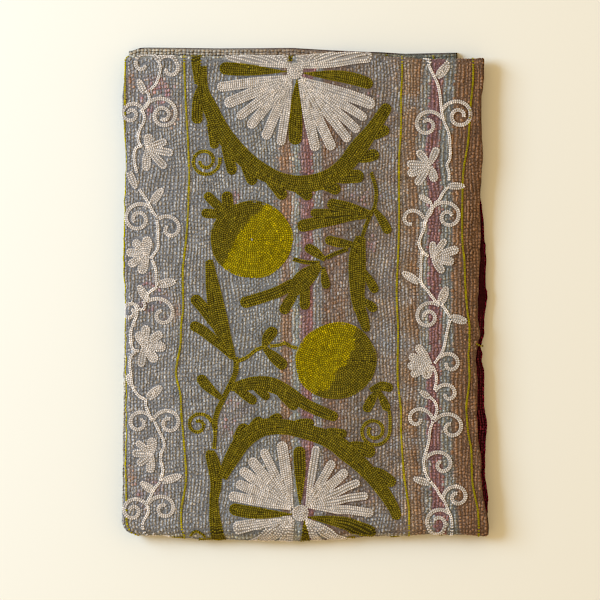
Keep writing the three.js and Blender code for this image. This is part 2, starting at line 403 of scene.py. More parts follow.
    def rolled(self, x: np.ndarray, s: np.ndarray, upper_leaf: np.ndarray) -> np.ndarray:
        """Give how much thicker the face cloth is at its turned-in hems.

        Args:
            x: Places across.
            s: Stations.
            upper_leaf: Whether each place is on the upper leaf.

        Returns:
            The extra thickness, in millimetres.
        """
        upper, lower = self.edges(s)
        from_edge = np.maximum(np.where(upper_leaf, upper, lower) - x, 0)
        from_hem = np.maximum(s * (self.hem - self.near), 0)
        thicker = eased(self.hem_roll, from_edge) + eased(self.hem_roll, from_hem)
        _, z = self.path(s, np.zeros_like(s))
        off_floor = ease((z - self.half) / self.panel_pitch)
        return thicker * np.where(upper_leaf, off_floor, 1)

    def layer(self, flat: np.ndarray, off: np.ndarray, rolled: bool) -> np.ndarray:
        """Place points on a layer of the folded quilt.

        Args:
            flat: Flat places across and along.
            off: Distances from the middle of the pair of leaves.
            rolled: Whether the hems' extra thickness is added.

        Returns:
            The places in space.
        """
        across, s = flat[:, 0], self.station(flat[:, 1])
        centre = self.centre(s)
        turned = np.clip((centre - across) / self.half, 0, np.pi)
        lower_leaf = across < centre - np.pi * self.half
        x = np.where(lower_leaf, self.other_leaf(across, centre), np.maximum(across, centre))
        mid, out = self.middle(x, s), self.outwards(x, s)
        if rolled:
            flat_part = (turned == 0) | lower_leaf
            off = off + np.where(flat_part, self.rolled(x, s, ~lower_leaf), 0)
        mid[:, 1] += self.hem_lead * np.clip((x - centre) / 20, 0, 1) * (s <= 0) * ~lower_leaf
        reach = off * np.cos(turned)
        side = -off * np.sin(turned)
        return mid + out * reach[:, None] + side[:, None] * np.array([1.0, 0.0, 0.0])


PUCKERS = drift(seed=11, count=20, shortest=11, longest=48)
# A place in the 600 by 600 view from above is 1.3 mm wide, and the frame's origin lies at this one.
PIXEL = 1.3
PHOTO_MIDDLE = (305.5, 293.5)
# Slopes and directions are taken between places this far to either side, in millimetres.
SLOPE_STEP = 0.8


def across_view(left: float, right: float, count: int) -> np.ndarray:
    """Lay out flat places across, between two places in the view from above."""
    return (np.linspace(left, right, count) - PHOTO_MIDDLE[0]) * PIXEL


@dataclass(frozen=True)
class QuiltFace:
    """The face cloth's outer surface, on which all the stitches lie."""

    stack: FoldedStack = FoldedStack()
    pucker: float = 0.42

    def skin(self, flat: np.ndarray, height: np.ndarray | float) -> np.ndarray:
        """Place points at a height above the face cloth.

        Args:
            flat: Flat places across and along.
            height: Heights above the cloth, in millimetres.

        Returns:
            The places in space.
        """
        puckered = self.pucker * field_at(PUCKERS, flat)
        off = self.stack.half + puckered + height
        return self.stack.layer(flat, off, rolled=True)

    def upwards(self, flat: np.ndarray) -> np.ndarray:
        """Give the cloth's outward directions.

        Args:
            flat: Flat places across and along.

        Returns:
            Unit vectors.
        """
        across, along = np.array([SLOPE_STEP, 0.0]), np.array([0.0, SLOPE_STEP])
        over = self.skin(flat + across, 0.0) - self.skin(flat - across, 0.0)
        up = self.skin(flat + along, 0.0) - self.skin(flat - along, 0.0)
        return unit(np.cross(over, up))

    def from_view(self, seen: np.ndarray) -> np.ndarray:
        """Turn places in the view from above into flat places.

        Args:
            seen: Places across and down the 600 by 600 view.

        Returns:
            Flat places across and along, in millimetres.
        """
        stack = self.stack
        x = (seen[:, 0] - PHOTO_MIDDLE[0]) * PIXEL
        y = (PHOTO_MIDDLE[1] - seen[:, 1]) * PIXEL
        far, near = eased(stack.far_fold, x), eased(stack.near_fold, x)
        share = (y - stack.near + near) / (stack.far - stack.near + far + near)
        along = stack.near + share * (stack.far - stack.near)
        across = x - stack.corner_shift(stack.station(np.clip(along, -300, 300)), x)
        return np.stack([across, along], axis=1)


@dataclass(frozen=True)
class QuiltBack(QuiltFace):
    """The back cloth's outer surface, which shows at the open edge."""

    def skin(self, flat: np.ndarray, height: np.ndarray | float) -> np.ndarray:
        """Place points at a height off the back cloth.

        Args:
            flat: Flat places across and along.
            height: Heights off the cloth, in millimetres.

        Returns:
            The places in space.
        """
        stack = self.stack
        off = stack.half - stack.face - stack.between_cloths - stack.back
        return stack.layer(flat, np.zeros(len(flat)) + off - height, rolled=False)

    def upwards(self, flat: np.ndarray) -> np.ndarray:
        """Give the cloth's outward directions."""
        return -super().upwards(flat)


BACK_DYE = "#340c11"
BACK_THREAD = "#66202a"


class Hue(Enum):
    """The colours of the embroidery threads."""

    OLIVE = "#806f14"
    CHARTREUSE = "#a69200"
    WHITE = "#d6cabe"
    # LIME is BRIGHT_LIME darkened: painted shade on the right lime line, where the light falls off.
    LIME = "#958600"
    BRIGHT_LIME = "#a29100"


# A function from flat places to hues, for a form that has more than one.
HueOf = Callable[[np.ndarray], list[Hue]]


@dataclass(frozen=True)
class Dyes:
    """The colours of the striped face cloth, faded unevenly."""

    stripes: tuple[tuple[float, str], ...] = (
        (118, "#857e77"), (280, "#7f7a72"), (282, "#896d56"), (290, "#836955"), (292, "#989084"),
        (299, "#84847a"), (301, "#7e6560"), (312, "#855b55"), (314, "#877e75"), (321, "#807970"),
        (324, "#7b5e49"), (344, "#79614f"), (350, "#726151"), (384, "#7c6b5b"), (390, "#826f5f"),
        (398, "#7e6b5b"), (402, "#8c745c"), (416, "#7c5e45"), (419, "#7d6f61"), (427, "#8a867c"),
        (429, "#7f5a57"), (440, "#805d56"), (442, "#807b70"), (451, "#757169"), (453, "#7a5d46"),
        (476, "#75553c"), (500, "#6e4d35"),
    )
    wander: Rows = (
        (-340, 7), (-312, 7), (-268, 4), (-200, 0), (-138, -2), (-60, 1), (0, 0), (120, 0),
        (186, -2), (250, 1), (303, 4), (320, 4),
    )
    blushes: Spots = (
        (156, 84, 12, 8, 0.9), (164, 95, 7, 11, 0.9), (142, 100, 3, 6, 0.9), (151, 112, 5, 8, 0.8),
        (149, 282, 6, 6, 0.95), (161, 294, 9, 9, 0.45), (144, 306, 9, 7, 0.5), (150, 307, 6, 6, 0.5),
        (154, 483, 9, 6, 0.6), (160, 491, 8, 7, 0.6), (140, 494, 5, 8, 0.55), (143, 506, 6, 8, 0.4),
        (236, 197, 5, 6, 0.7), (230, 422, 14, 16, 0.35), (240, 404, 14, 12, 0.3),
        (372, 245, 6, 9, 0.5), (360, 200, 12, 9, 0.35), (372, 95, 5, 9, 0.6), (366, 497, 10, 6, 0.5),
    )
    rusts: Spots = (
        (131, 82, 5, 12, 0.6), (170, 119, 5, 7, 0.7), (178, 110, 3, 9, 0.5), (130, 476, 5, 10, 0.6),
        (175, 312, 4, 10, 0.6), (166, 320, 4, 4, 0.6), (150, 93, 4, 4, 0.5), (285, 200, 9, 60, 0.5),
    )
    greys: Spots = (
        (286, 105, 8, 30, 0.7), (286, 255, 8, 30, 0.6), (286, 180, 8, 10, 0.4),
        (410, 102, 11, 7, 0.8), (396, 100, 6, 12, 0.7), (392, 150, 12, 12, 0.5),
        (392, 196, 14, 10, 0.6), (404, 246, 12, 10, 0.6), (405, 296, 12, 8, 0.7),
        (404, 345, 14, 11, 0.9), (388, 340, 8, 16, 0.9), (405, 393, 14, 8, 0.6), (404, 442, 16, 8, 0.6),
        (396, 492, 16, 9, 0.7), (384, 270, 10, 26, 0.5), (380, 340, 9, 14, 0.6),
        (330, 60, 12, 8, 0.5), (380, 70, 12, 20, 0.5), (378, 522, 15, 12, 0.9), (380, 68, 9, 14, 0.8),
        (344, 155, 12, 10, 0.4), (352, 190, 10, 8, 0.6), (340, 278, 10, 10, 0.4),
    )
    hem: tuple[tuple[float, str], ...] = (
        (118, "#978a76"), (190, "#9a8c78"), (232, "#988a78"), (262, "#85735f"), (296, "#7c6855"),
        (345, "#7a6653"), (372, "#76705e"), (420, "#6c695c"), (434, "#726e60"), (460, "#646154"),
    )
    blush: str = "#966462"
    rust: str = "#8a5f40"
    grey: str = "#858380"
    plaid_grey: str = "#827d77"
    # The stripes wander the more the further right they are, from the first place over the second.
    wanders: tuple[float, float] = (-60, 180)
    plaid_view: tuple[float, float] = (318, 402)
    plaid_strength: float = 0.55
    # Patches are fainter in the cloth. A stitch takes a patch's dye in part, and more by chance.
    patch_in_cloth: float = 0.45
    patch_in_stitch: float = 0.5
    patch_by_chance: float = 0.35
    # Pale painted highlights along the near and the far fold, where each fold catches the light: where each
    # lies and how far across it runs.
    fold_highlight: str = "#c9bfa4"
    fold_highlight_lines: Rows = ((-314, 150), (306, -20))
    fold_highlight_width: float = 1.8
    fold_highlight_strength: float = 0.5
    fold_highlight_fade: float = 20.0
    # How far the stripes' borders stray, and how far a single stitch's dye does, in view places.
    stray: float = 0.8
    scatter: float = 3.6
    # The cloth down between the stitches is darkened as painted shade from them, the darker the wider the
    # rows lie.
    shaded: tuple[float, float, float] = (0.82, 0.85, 0.9)
    shaded_more: Rows = ((-400, 1.0), (60, 1.0), (130, 0.95), (400, 0.95))
    unevenness: np.ndarray = field(default_factory=lambda: drift(5, 16, 14, 60))
    mottling: np.ndarray = field(default_factory=lambda: drift(6, 24, 7, 26))
    cooler: tuple[float, float, float] = (0.98, 1.0, 1.06)

    def spots(self, table: Spots, face: QuiltFace, flat: np.ndarray) -> np.ndarray:
        """Add up soft spots given in view places.

        Args:
            table: A row a spot: across, down, its two half-sizes and its strength.
            face: The face they lie on.
            flat: Flat places to read them at.

        Returns:
            Strengths from 0 to 1.
        """
        total = np.zeros(len(flat))
        for across, down, wide, tall, strength in table:
            centre = face.from_view(np.array([[across, down]]))[0]
            away = ((flat[:, 0] - centre[0]) / (wide * PIXEL)) ** 2
            away += ((flat[:, 1] - centre[1]) / (tall * PIXEL)) ** 2
            total = np.maximum(total, strength * np.exp(-(away**1.5) / 1.2))
        return total

    def at(self, face: QuiltFace, flat: np.ndarray, flecks: np.ndarray | None = None) -> np.ndarray:
        """Give the cloth's colour at flat places.

        Args:
            face: The face that the stripes run along.
            flat: Flat places across and along.
            flecks: For single stitches, two random numbers each, which break the patches up.

        Returns:
            Linear colours, one a row, without alpha.
        """
        stack = face.stack
        centre = stack.left + stack.half
        below = flat[:, 0] < centre - np.pi * stack.half
        across = np.where(below, stack.other_leaf(flat[:, 0], centre), flat[:, 0])
        share = ease((across - self.wanders[0]) / self.wanders[1])
        stripe = across - eased(self.wander, flat[:, 1]) * share * PIXEL
        seen = stripe / PIXEL + PHOTO_MIDDLE[0]
        mottle = field_at(self.mottling, flat)
        seen = seen + self.stray * mottle
        if flecks is not None:
            seen = seen + self.scatter * (flecks[:, 0] - 0.5)
        dye = self.striped(self.stripes, seen)
        starts, stops = (ease((seen - place) / 8) for place in self.plaid_view)
        plaid = starts * (1 - stops) * self.plaid_strength
        patches = [
            (self.spots(self.greys, face, flat), self.grey),
            (plaid * ease(0.5 + 0.9 * mottle), self.plaid_grey),
            (self.spots(self.rusts, face, flat), self.rust),
            (self.spots(self.blushes, face, flat) * ease(0.75 + 0.9 * mottle), self.blush),
        ]
        for strength, code in patches:
            if flecks is None:
                strength = self.patch_in_cloth * strength
            else:
                taken = flecks[:, 1] < 0.75 * strength
                strength = self.patch_in_stitch * strength + self.patch_by_chance * taken
            strength = np.clip(strength, 0, 1)[:, None]
            dye = dye * (1 - strength) + np.array(linear(code)[:3]) * strength
        peeking = (flat[:, 1] < stack.stops[1])[:, None]
        dye = np.where(peeking, self.striped(self.hem, across / PIXEL + PHOTO_MIDDLE[0]), dye)
        # Pale lines of painted highlight along the near and the far fold.
        painted_highlight = np.zeros(len(flat))
        for place, ends in self.fold_highlight_lines:
            line = self.fold_highlight_strength * np.exp(-(((flat[:, 1] - place) / self.fold_highlight_width) ** 2))
            painted_highlight += line * ease((ends - across) / self.fold_highlight_fade)
        dye = dye * (1 - painted_highlight[:, None]) + np.array(linear(self.fold_highlight)[:3]) * painted_highlight[:, None]
        return dye * self.cooler * (1 + 0.1 * field_at(self.unevenness, flat))[:, None]

    def between(self, face: QuiltFace, flat: np.ndarray) -> np.ndarray:
        """Give the colour down between the stitches, darkened as painted shade."""
        return self.at(face, flat) * self.shaded * eased(self.shaded_more, flat[:, 0])[:, None]

    def striped(self, stripes: tuple[tuple[float, str], ...], seen: np.ndarray) -> np.ndarray:
        """Read a table of stripes.

        Args:
            stripes: Places across the view, each with its colour.
            seen: Where to read.

        Returns:
            Linear colours.
        """
        places = [row[0] for row in stripes]
        colours = np.array([linear(row[1])[:3] for row in stripes])
        return np.stack([np.interp(seen, places, colours[:, k]) for k in range(3)], axis=1)


def add_node(
    tree: bpy.types.NodeTree,
    kind: str,
    inputs: dict[str | int, object] | None = None,
    **settings: object,
) -> bpy.types.Node:
    """Add a node with its settings, values and links.

    Args:
        tree: The tree it goes into.
        kind: The node's type.
        inputs: For each input socket, a value or the output socket that feeds it.
        **settings: The node's own properties.

    Returns:
        The node.
    """
    node = tree.nodes.new(kind)
    for name, value in settings.items():
        setattr(node, name, value)
    for socket, value in (inputs or {}).items():
        if isinstance(value, bpy.types.NodeSocket):
            tree.links.new(value, node.inputs[socket])
        else:
            node.inputs[socket].default_value = value
    return node


@dataclass(frozen=True)
class Finish:
    """A dyed fibre finish: the piece's own dye, broken up by its thread, and a raised grain."""

    name: str
    roughness: float = 0.85
    sheen: float = 0.05
    specular: float = 0.1
    grain_mm: float = 0.9
    grain_height_mm: float = 0.25
    shade: float = 0.25

    def material(self) -> bpy.types.Material:
        """Build the material.

        Returns:
            A material that reads the piece's "dye" attribute and Object coordinates.
        """
        made = bpy.data.materials.new(self.name)
        made.use_nodes = True
        tree = made.node_tree
        tree.nodes.clear()
        place = add_node(tree, "ShaderNodeTexCoord").outputs["Object"]
        grain = add_node(tree, "ShaderNodeTexNoise", {
            "Vector": place, "Scale": 1 / (self.grain_mm * MM * 2), "Detail": 3.0, "Roughness": 0.6,
        })
        dye = add_node(tree, "ShaderNodeAttribute", attribute_name="dye")
        value = add_node(tree, "ShaderNodeMapRange", {
            "Value": grain.outputs["Fac"], "From Min": 0.3, "From Max": 0.7,
            "To Min": 1 - self.shade, "To Max": 1 + self.shade,
        })
        shaded = add_node(tree, "ShaderNodeVectorMath", {
            0: dye.outputs["Color"], "Scale": value.outputs["Result"],
        }, operation="SCALE")
        bump = add_node(tree, "ShaderNodeBump", {
            "Height": grain.outputs["Fac"], "Distance": self.grain_height_mm * MM, "Strength": 0.8,
        })
        shader = add_node(tree, "ShaderNodeBsdfPrincipled", {
            "Base Color": shaded.outputs["Vector"], "Normal": bump.outputs["Normal"],
            "Roughness": self.roughness, "Sheen Weight": self.sheen, "Sheen Roughness": 0.5,
            "Specular IOR Level": self.specular,
        })
        add_node(tree, "ShaderNodeOutputMaterial", {"Surface": shader.outputs["BSDF"]})
        return made


# Old cotton sari cloth, plain-woven and washed soft, so it is matt with a fine uneven grain. Its
# threads are 0.3 mm apart, too fine to show from above, so the grain is drawn at 0.8 mm.
FACE_COTTON = Finish("faded_cotton_sari_cloth", grain_mm=0.8, grain_height_mm=0.7, shade=0.75)
# Plain-woven cotton, dyed one deep maroon: dull, with slubs a millimetre long. Its threads are
# as fine as those of the face, and drawn coarser for the same reason.
BACK_COTTON = Finish("plain_maroon_cotton", sheen=0.0, specular=0.05, grain_mm=1.0,
                     grain_height_mm=0.9, shade=0.6)
# Loosely spun cotton thread of the running stitches, worn and faded unevenly, so a stitch is
# lighter and darker along its length. Its plies are 0.4 mm apart and are drawn at 0.7 mm.
QUILTING_COTTON = Finish("spun_cotton_quilting_thread", grain_mm=0.7, grain_height_mm=0.3,
                         shade=0.75)
# Two-ply wool of the chain stitch: soft and a little hairy, with a faint sheen on its upper
# side. Its grain is that of its plies, 0.45 mm apart.
CREWEL_WOOL = Finish("two_ply_crewel_wool", roughness=0.8, sheen=0.02, grain_mm=0.45,
                     grain_height_mm=0.2, shade=0.22)


def mesh_object(
    name: str, points: np.ndarray, faces: list[list[int]], dye: np.ndarray | None = None
) -> bpy.types.Object:
    """Make an object from points in millimetres.

    Args:
        name: The object's name.
        points: The points, one a row.
        faces: Lists of point numbers, or none for bare points.
        dye: Linear colours, one a point.

    Returns:
        The object, in the scene.
    """
    mesh = bpy.data.meshes.new(name)
    mesh.from_pydata((points * MM).tolist(), [], faces)
    if dye is not None:
        rgba = np.concatenate([dye, np.ones((len(dye), 1))], axis=1)
        mesh.attributes.new("dye", "FLOAT_COLOR", "POINT").data.foreach_set("color", rgba.ravel())
    made = bpy.data.objects.new(name, mesh)
    bpy.context.scene.collection.objects.link(made)
    return made


def face_outwards(mesh: bpy.types.Mesh) -> None:
    """Turn all the faces of a closed mesh outwards.

    Args:
        mesh: The mesh.
    """
    shell = bmesh.new()
    shell.from_mesh(mesh)
    bmesh.ops.recalc_face_normals(shell, faces=shell.faces)
    shell.to_mesh(mesh)
    shell.free()


@dataclass
class ClothSheet:
    """One cloth of the quilt: a thin closed sheet on the stack's folds."""

    name: str
    face: QuiltFace
    outer: float
    inner: float
    trim: float
    step: float
    ring_step: float
    finish: Finish
    puckered: bool
    # Columns by the open edge stand at these insets, and rings by the hem too.
    edge_insets: tuple[float, ...] = (0, 1.2, 2.5, 4, 6, 8.5)
    hem_insets: tuple[float, ...] = (0, 1.2, 2.5, 4, 6, 9, 13, 20, 40)
    # The lower leaf shows only by its edge, so its columns stand wide apart further in.
    lower_shares: tuple[float, ...] = (0.96, 0.85, 0.7, 0.5, 0.3, 0.15, 0.06)
    off_floor: float = 0.05

    def places_across(self, s: np.ndarray) -> np.ndarray:
        """Lay out columns from the upper leaf's open edge to the lower leaf's.

        Args:
            s: Stations of the rings.

        Returns:
            Flat places, one row a ring.
        """
        stack = self.face.stack
        upper, lower = stack.edges(s)
        fold = stack.centre(s)[:, None]
        upper, lower = upper[:, None], lower[:, None]
        width = stack.open_edge - stack.left
        shares = np.linspace(0, 1, round(width / self.step) + 1)
        shares = shares[shares * width > 10]
        inset = self.edge_insets[-1]
        sheet = upper - np.array(self.edge_insets)
        rest = (upper - inset) + (fold - upper + inset) * shares
        around = fold - math.pi * stack.half * np.linspace(0, 1, 10)[1:]
        below = fold + (upper - 14 - fold) * (1 - np.array(self.lower_shares))
        edge = upper - np.array([inset, 5, 2.5])
        sheet[:, 0] -= self.trim
        last = stack.other_leaf(lower, fold) + self.trim
        under = [stack.other_leaf(places, fold) for places in (below, edge)]
        return np.concatenate([sheet, rest, around, *under, last], axis=1)

    def rings(self) -> np.ndarray:
        """Lay out the rings along the quilt, in flat millimetres."""
        hem, under, near, far, tucked, end = self.face.stack.stops
        return np.concatenate([
            hem + np.array(self.hem_insets), np.linspace(hem + 80, under, 10),
            np.linspace(under, near, 15)[1:],
            np.linspace(near, far, round((far - near) / self.ring_step))[1:],
            np.linspace(far, tucked, 9)[1:], np.linspace(tucked, end, 12)[1:],
        ])

    def build(self, dye: Dyes | str) -> bpy.types.Object:
        """Build the cloth.

        Args:
            dye: The face's stripes, or one plain colour.

        Returns:
            The finished object.
        """
        stack = self.face.stack
        along = self.rings()
        across = self.places_across(stack.station(along))
        rings, columns = across.shape
        # The inner side is hidden, so it has every ninth column, and all of them round the fold.
        keep = sorted({0, *range(6, columns - 12, 9), *range(columns - 19, columns)})
        inner_across = across[:, keep[::-1]]
        flats = []
        for grid in (across, inner_across):
            flats.append(np.stack([grid.ravel(), np.repeat(along, grid.shape[1])], axis=1))
        outer_flat, inner_flat = flats
        if self.puckered:
            outer = self.face.skin(outer_flat, 0.0)
        else:
            outer = stack.layer(outer_flat, np.full(len(outer_flat), self.outer), rolled=False)
        inner = stack.layer(inner_flat, np.full(len(inner_flat), self.inner), rolled=False)
        size = columns + len(keep)
        points = np.concatenate(
            [outer.reshape(rings, columns, 3), inner.reshape(rings, len(keep), 3)], axis=1
        ).reshape(-1, 3)
        flat = np.concatenate(
            [outer_flat.reshape(rings, columns, 2), inner_flat.reshape(rings, len(keep), 2)], axis=1
        ).reshape(-1, 2)
        points[:, 2] = np.maximum(points[:, 2], self.off_floor)
        r, k = np.meshgrid(np.arange(rings - 1), np.arange(size), indexing="ij")
        n = (k + 1) % size
        quads = np.stack([r * size + k, (r + 1) * size + k, (r + 1) * size + n, r * size + n], axis=-1)
        faces = quads.reshape(-1, 4).tolist()
        for start in (0, (rings - 1) * size):
            for j in range(len(keep) - 1):
                near_inner = size - 1 - j
                edge = [start + i for i in range(keep[j], keep[j + 1] + 1)]
                faces.append([*edge, start + near_inner - 1, start + near_inner])
        # The face cloth takes the stripes' dye with painted shade between the stitches.
        colour = (
            dye.between(self.face, flat) if isinstance(dye, Dyes)
            else np.tile(np.array(linear(dye)[:3]), (len(points), 1))
        )
        made = mesh_object(self.name, points, faces, colour)
        face_outwards(made.data)
        made.data.polygons.foreach_set("use_smooth", [True] * len(made.data.polygons))
        made.data.materials.append(self.finish.material())
        return made


# A stitch whose middle is lower than this would reach into the floor, so it isn't laid.
LOWEST_STITCH = 1.9


@dataclass
class Stitches:
    """A batch of like stitches: where each lies, which way it runs, its size and its dye."""

    centre: list[np.ndarray] = field(default_factory=list)
    along: list[np.ndarray] = field(default_factory=list)
    up: list[np.ndarray] = field(default_factory=list)
    size: list[np.ndarray] = field(default_factory=list)
    dye: list[np.ndarray] = field(default_factory=list)

    def add(self, face: QuiltFace, flat: np.ndarray, heading: np.ndarray, height: float | np.ndarray,
            size: np.ndarray, dye: np.ndarray) -> None:
        """Add stitches to the batch.

        Args:
            face: The cloth they lie on.
            flat: Their flat middles.
            heading: Their flat directions.
            height: Their height above the cloth, in millimetres.
            size: Factors on their length, width and height.
            dye: Their linear colours.
        """
        centre = face.skin(flat, height)
        clear = centre[:, 2] > LOWEST_STITCH
        if not clear.any():
            return
        flat, heading, size, dye = flat[clear], heading[clear], size[clear], dye[clear]
        if isinstance(height, np.ndarray):
            height = height[clear]
        step = SLOPE_STEP * heading
        ahead = face.skin(flat + step, height) - face.skin(flat - step, height)
        self.centre.append(centre[clear])
        self.along.append(unit(ahead))
        self.up.append(face.upwards(flat))
        self.size.append(size)
        self.dye.append(dye)


@dataclass(frozen=True)
class StitchForm:
    """The form of one stitch: a lens of thread, or two that close on each other as a chain link."""

    length: float
    width: float
    height: float
    lobes: int = 1
    splay: float = 0.0
    turn_deg: float = 0.0

    def stitch(
        self, tree: bpy.types.GeometryNodeTree, given: bpy.types.NodeOutputs
    ) -> bpy.types.NodeSocket:
        """Add the nodes that make one stitch.

        Args:
            tree: The tree they go into.
            given: The tree's own inputs.

        Returns:
            The socket that gives the stitch.
        """
        lens = add_node(tree, "GeometryNodeMeshUVSphere", {"Segments": 4, "Rings": 3, "Radius": 0.5})
        laid = add_node(tree, "GeometryNodeTransform", {
            "Geometry": lens.outputs["Mesh"], "Rotation": (0.0, math.pi / 2, 0.0),
        })
        scale = add_node(tree, "ShaderNodeCombineXYZ", {
            "X": given["Length"], "Y": given["Width"], "Z": given["Height"],
        })
        sized = add_node(tree, "GeometryNodeTransform", {
            "Geometry": laid.outputs["Geometry"], "Scale": scale.outputs["Vector"],
        })
        if self.lobes == 1:
            return sized.outputs["Geometry"]
        joined = add_node(tree, "GeometryNodeJoinGeometry")
        for side in (1.0, -1.0):
            aside = add_node(tree, "ShaderNodeMath", {0: given["Splay"], 1: side}, operation="MULTIPLY")
            turned = add_node(tree, "ShaderNodeMath", {0: given["Turn"], 1: side}, operation="MULTIPLY")
            move = add_node(tree, "ShaderNodeCombineXYZ", {"Y": aside.outputs[0]})
            turn = add_node(tree, "ShaderNodeCombineXYZ", {"Z": turned.outputs[0]})
            lobe = add_node(tree, "GeometryNodeTransform", {
                "Geometry": sized.outputs["Geometry"], "Translation": move.outputs["Vector"],
                "Rotation": turn.outputs["Vector"],
            })
            tree.links.new(lobe.outputs["Geometry"], joined.inputs[0])
        return joined.outputs[0]

    def tree(self, name: str, material: bpy.types.Material) -> bpy.types.GeometryNodeTree:
        """Build the tree that lays a stitch on every point.

        Args:
            name: The tree's name.
            material: What the stitches are made of.

        Returns:
            A geometry node tree with named inputs for the stitch's sizes.
        """
        tree = bpy.data.node_groups.new(name, "GeometryNodeTree")
        tree.interface.new_socket("Geometry", in_out="INPUT", socket_type="NodeSocketGeometry")
        for size in ("Length", "Width", "Height", "Splay", "Turn"):
            tree.interface.new_socket(size, in_out="INPUT", socket_type="NodeSocketFloat")
        tree.interface.new_socket("Geometry", in_out="OUTPUT", socket_type="NodeSocketGeometry")
        given = add_node(tree, "NodeGroupInput").outputs
        stitch = self.stitch(tree, given)
        read = {
            label: add_node(tree, "GeometryNodeInputNamedAttribute", {"Name": label},
                            data_type="FLOAT_VECTOR").outputs["Attribute"]
            for label in ("along", "up", "size")
        }
        turn = add_node(tree, "FunctionNodeAxesToRotation", {
            "Primary Axis": read["up"], "Secondary Axis": read["along"],
        }, primary_axis="Z", secondary_axis="X")
        laid_out = add_node(tree, "GeometryNodeInstanceOnPoints", {
            "Points": given["Geometry"], "Instance": stitch, "Rotation": turn.outputs["Rotation"],
            "Scale": read["size"],
        })
        real = add_node(tree, "GeometryNodeRealizeInstances", {"Geometry": laid_out.outputs["Instances"]})
        smooth = add_node(tree, "GeometryNodeSetShadeSmooth", {"Geometry": real.outputs["Geometry"]})
        dressed = add_node(tree, "GeometryNodeSetMaterial", {
            "Geometry": smooth.outputs["Geometry"], "Material": material,
        })
        add_node(tree, "NodeGroupOutput", {0: dressed.outputs["Geometry"]})
        return tree

    def lay(self, name: str, batch: Stitches, material: bpy.types.Material) -> bpy.types.Object:
        """Lay a batch of stitches as one plain mesh.

        Args:
            name: The piece's name.
            batch: The stitches.
            material: What they are made of.

        Returns:
            The finished object.
        """
        made = mesh_object(name, np.concatenate(batch.centre), [], np.concatenate(batch.dye))
        for label, rows in (("along", batch.along), ("up", batch.up), ("size", batch.size)):
            values = np.concatenate(rows).astype(np.float32)
            attribute = made.data.attributes.new(label, "FLOAT_VECTOR", "POINT")
            attribute.data.foreach_set("vector", values.ravel())
        tree = self.tree(name + "_tree", material)
        sizes = {
            "Length": self.length * MM, "Width": self.width * MM, "Height": self.height * MM,
            "Splay": self.splay * MM, "Turn": math.radians(self.turn_deg),
        }
        modifier = made.modifiers.new("stitches", "NODES")
        modifier.node_group = tree
        for item in tree.interface.items_tree:
            if item.in_out == "INPUT" and item.name in sizes:
                modifier[item.identifier] = sizes[item.name]
        graph = bpy.context.evaluated_depsgraph_get()
        mesh = bpy.data.meshes.new_from_object(made.evaluated_get(graph))
        made.modifiers.clear()
        made.data = mesh
        for label in ("along", "up", "size"):
            if label in mesh.attributes:
                mesh.attributes.remove(mesh.attributes[label])
        return made


# A chain link is two strands that part from one hole and close on the next one.
CHAIN = StitchForm(length=2.5, width=1.08, height=1.6, lobes=2, splay=0.56, turn_deg=-13)
# A running stitch stands for the thread and for the ridge of cloth that it gathers.
RUNNING = StitchForm(length=5.2, width=4.0, height=1.3)


# Places in the view from above, in its pixels of 1.3 mm. Each motif is a plain stem, leaf,
# lobe, petal or curl of this work's usual vocabulary, set out after the photograph's layout.
# Curls: where each starts, its middle, its size and its turns.
WHITE_CURLS = (
    (158, 62, 142, 65, 8.5, -1.0), (158, 62, 170, 69, 11, 0.95), (143, 109, 131, 114, 9, -1.45),
    (143, 109, 163, 115, 13, 1.8), (150, 207, 138, 219, 13, -1.5), (158, 219, 170, 229, 11, 1.05),
    (146, 302, 162, 315, 12, 1.15), (138, 307, 130, 312, 9, -1.1), (153, 421, 139, 423, 11, -1.2),
    (153, 421, 169, 423, 12, 1.3), (146, 504, 133, 511, 10, -1.4), (148, 504, 164, 509, 11, 1.3),
    (442, 110, 459, 116, 13, 1.5), (442, 118, 427, 125, 12, -1.35), (426, 221, 448, 217, 12, 1.5),
    (424, 219, 411, 220, 11, -0.8), (440, 306, 428, 317, 12, -1.4), (440, 357, 450, 364, 10, 0.98),
    (435, 391, 448, 394, 9, 1.0), (433, 420, 417, 419, 10, -1.05), (434, 421, 451, 428, 12, 1.2),
    (424, 460, 442, 465, 10, 1.2), (443, 499, 457, 497, 11, 1.3), (449, 513, 438, 523, 13, -1.3),
)
OLIVE_CURLS = (
    (220, 158, 205, 161, 15, 1.55), (213, 428, 198, 425, 11, -1.4), (390, 430, 374, 431, 15, 1.63),
)
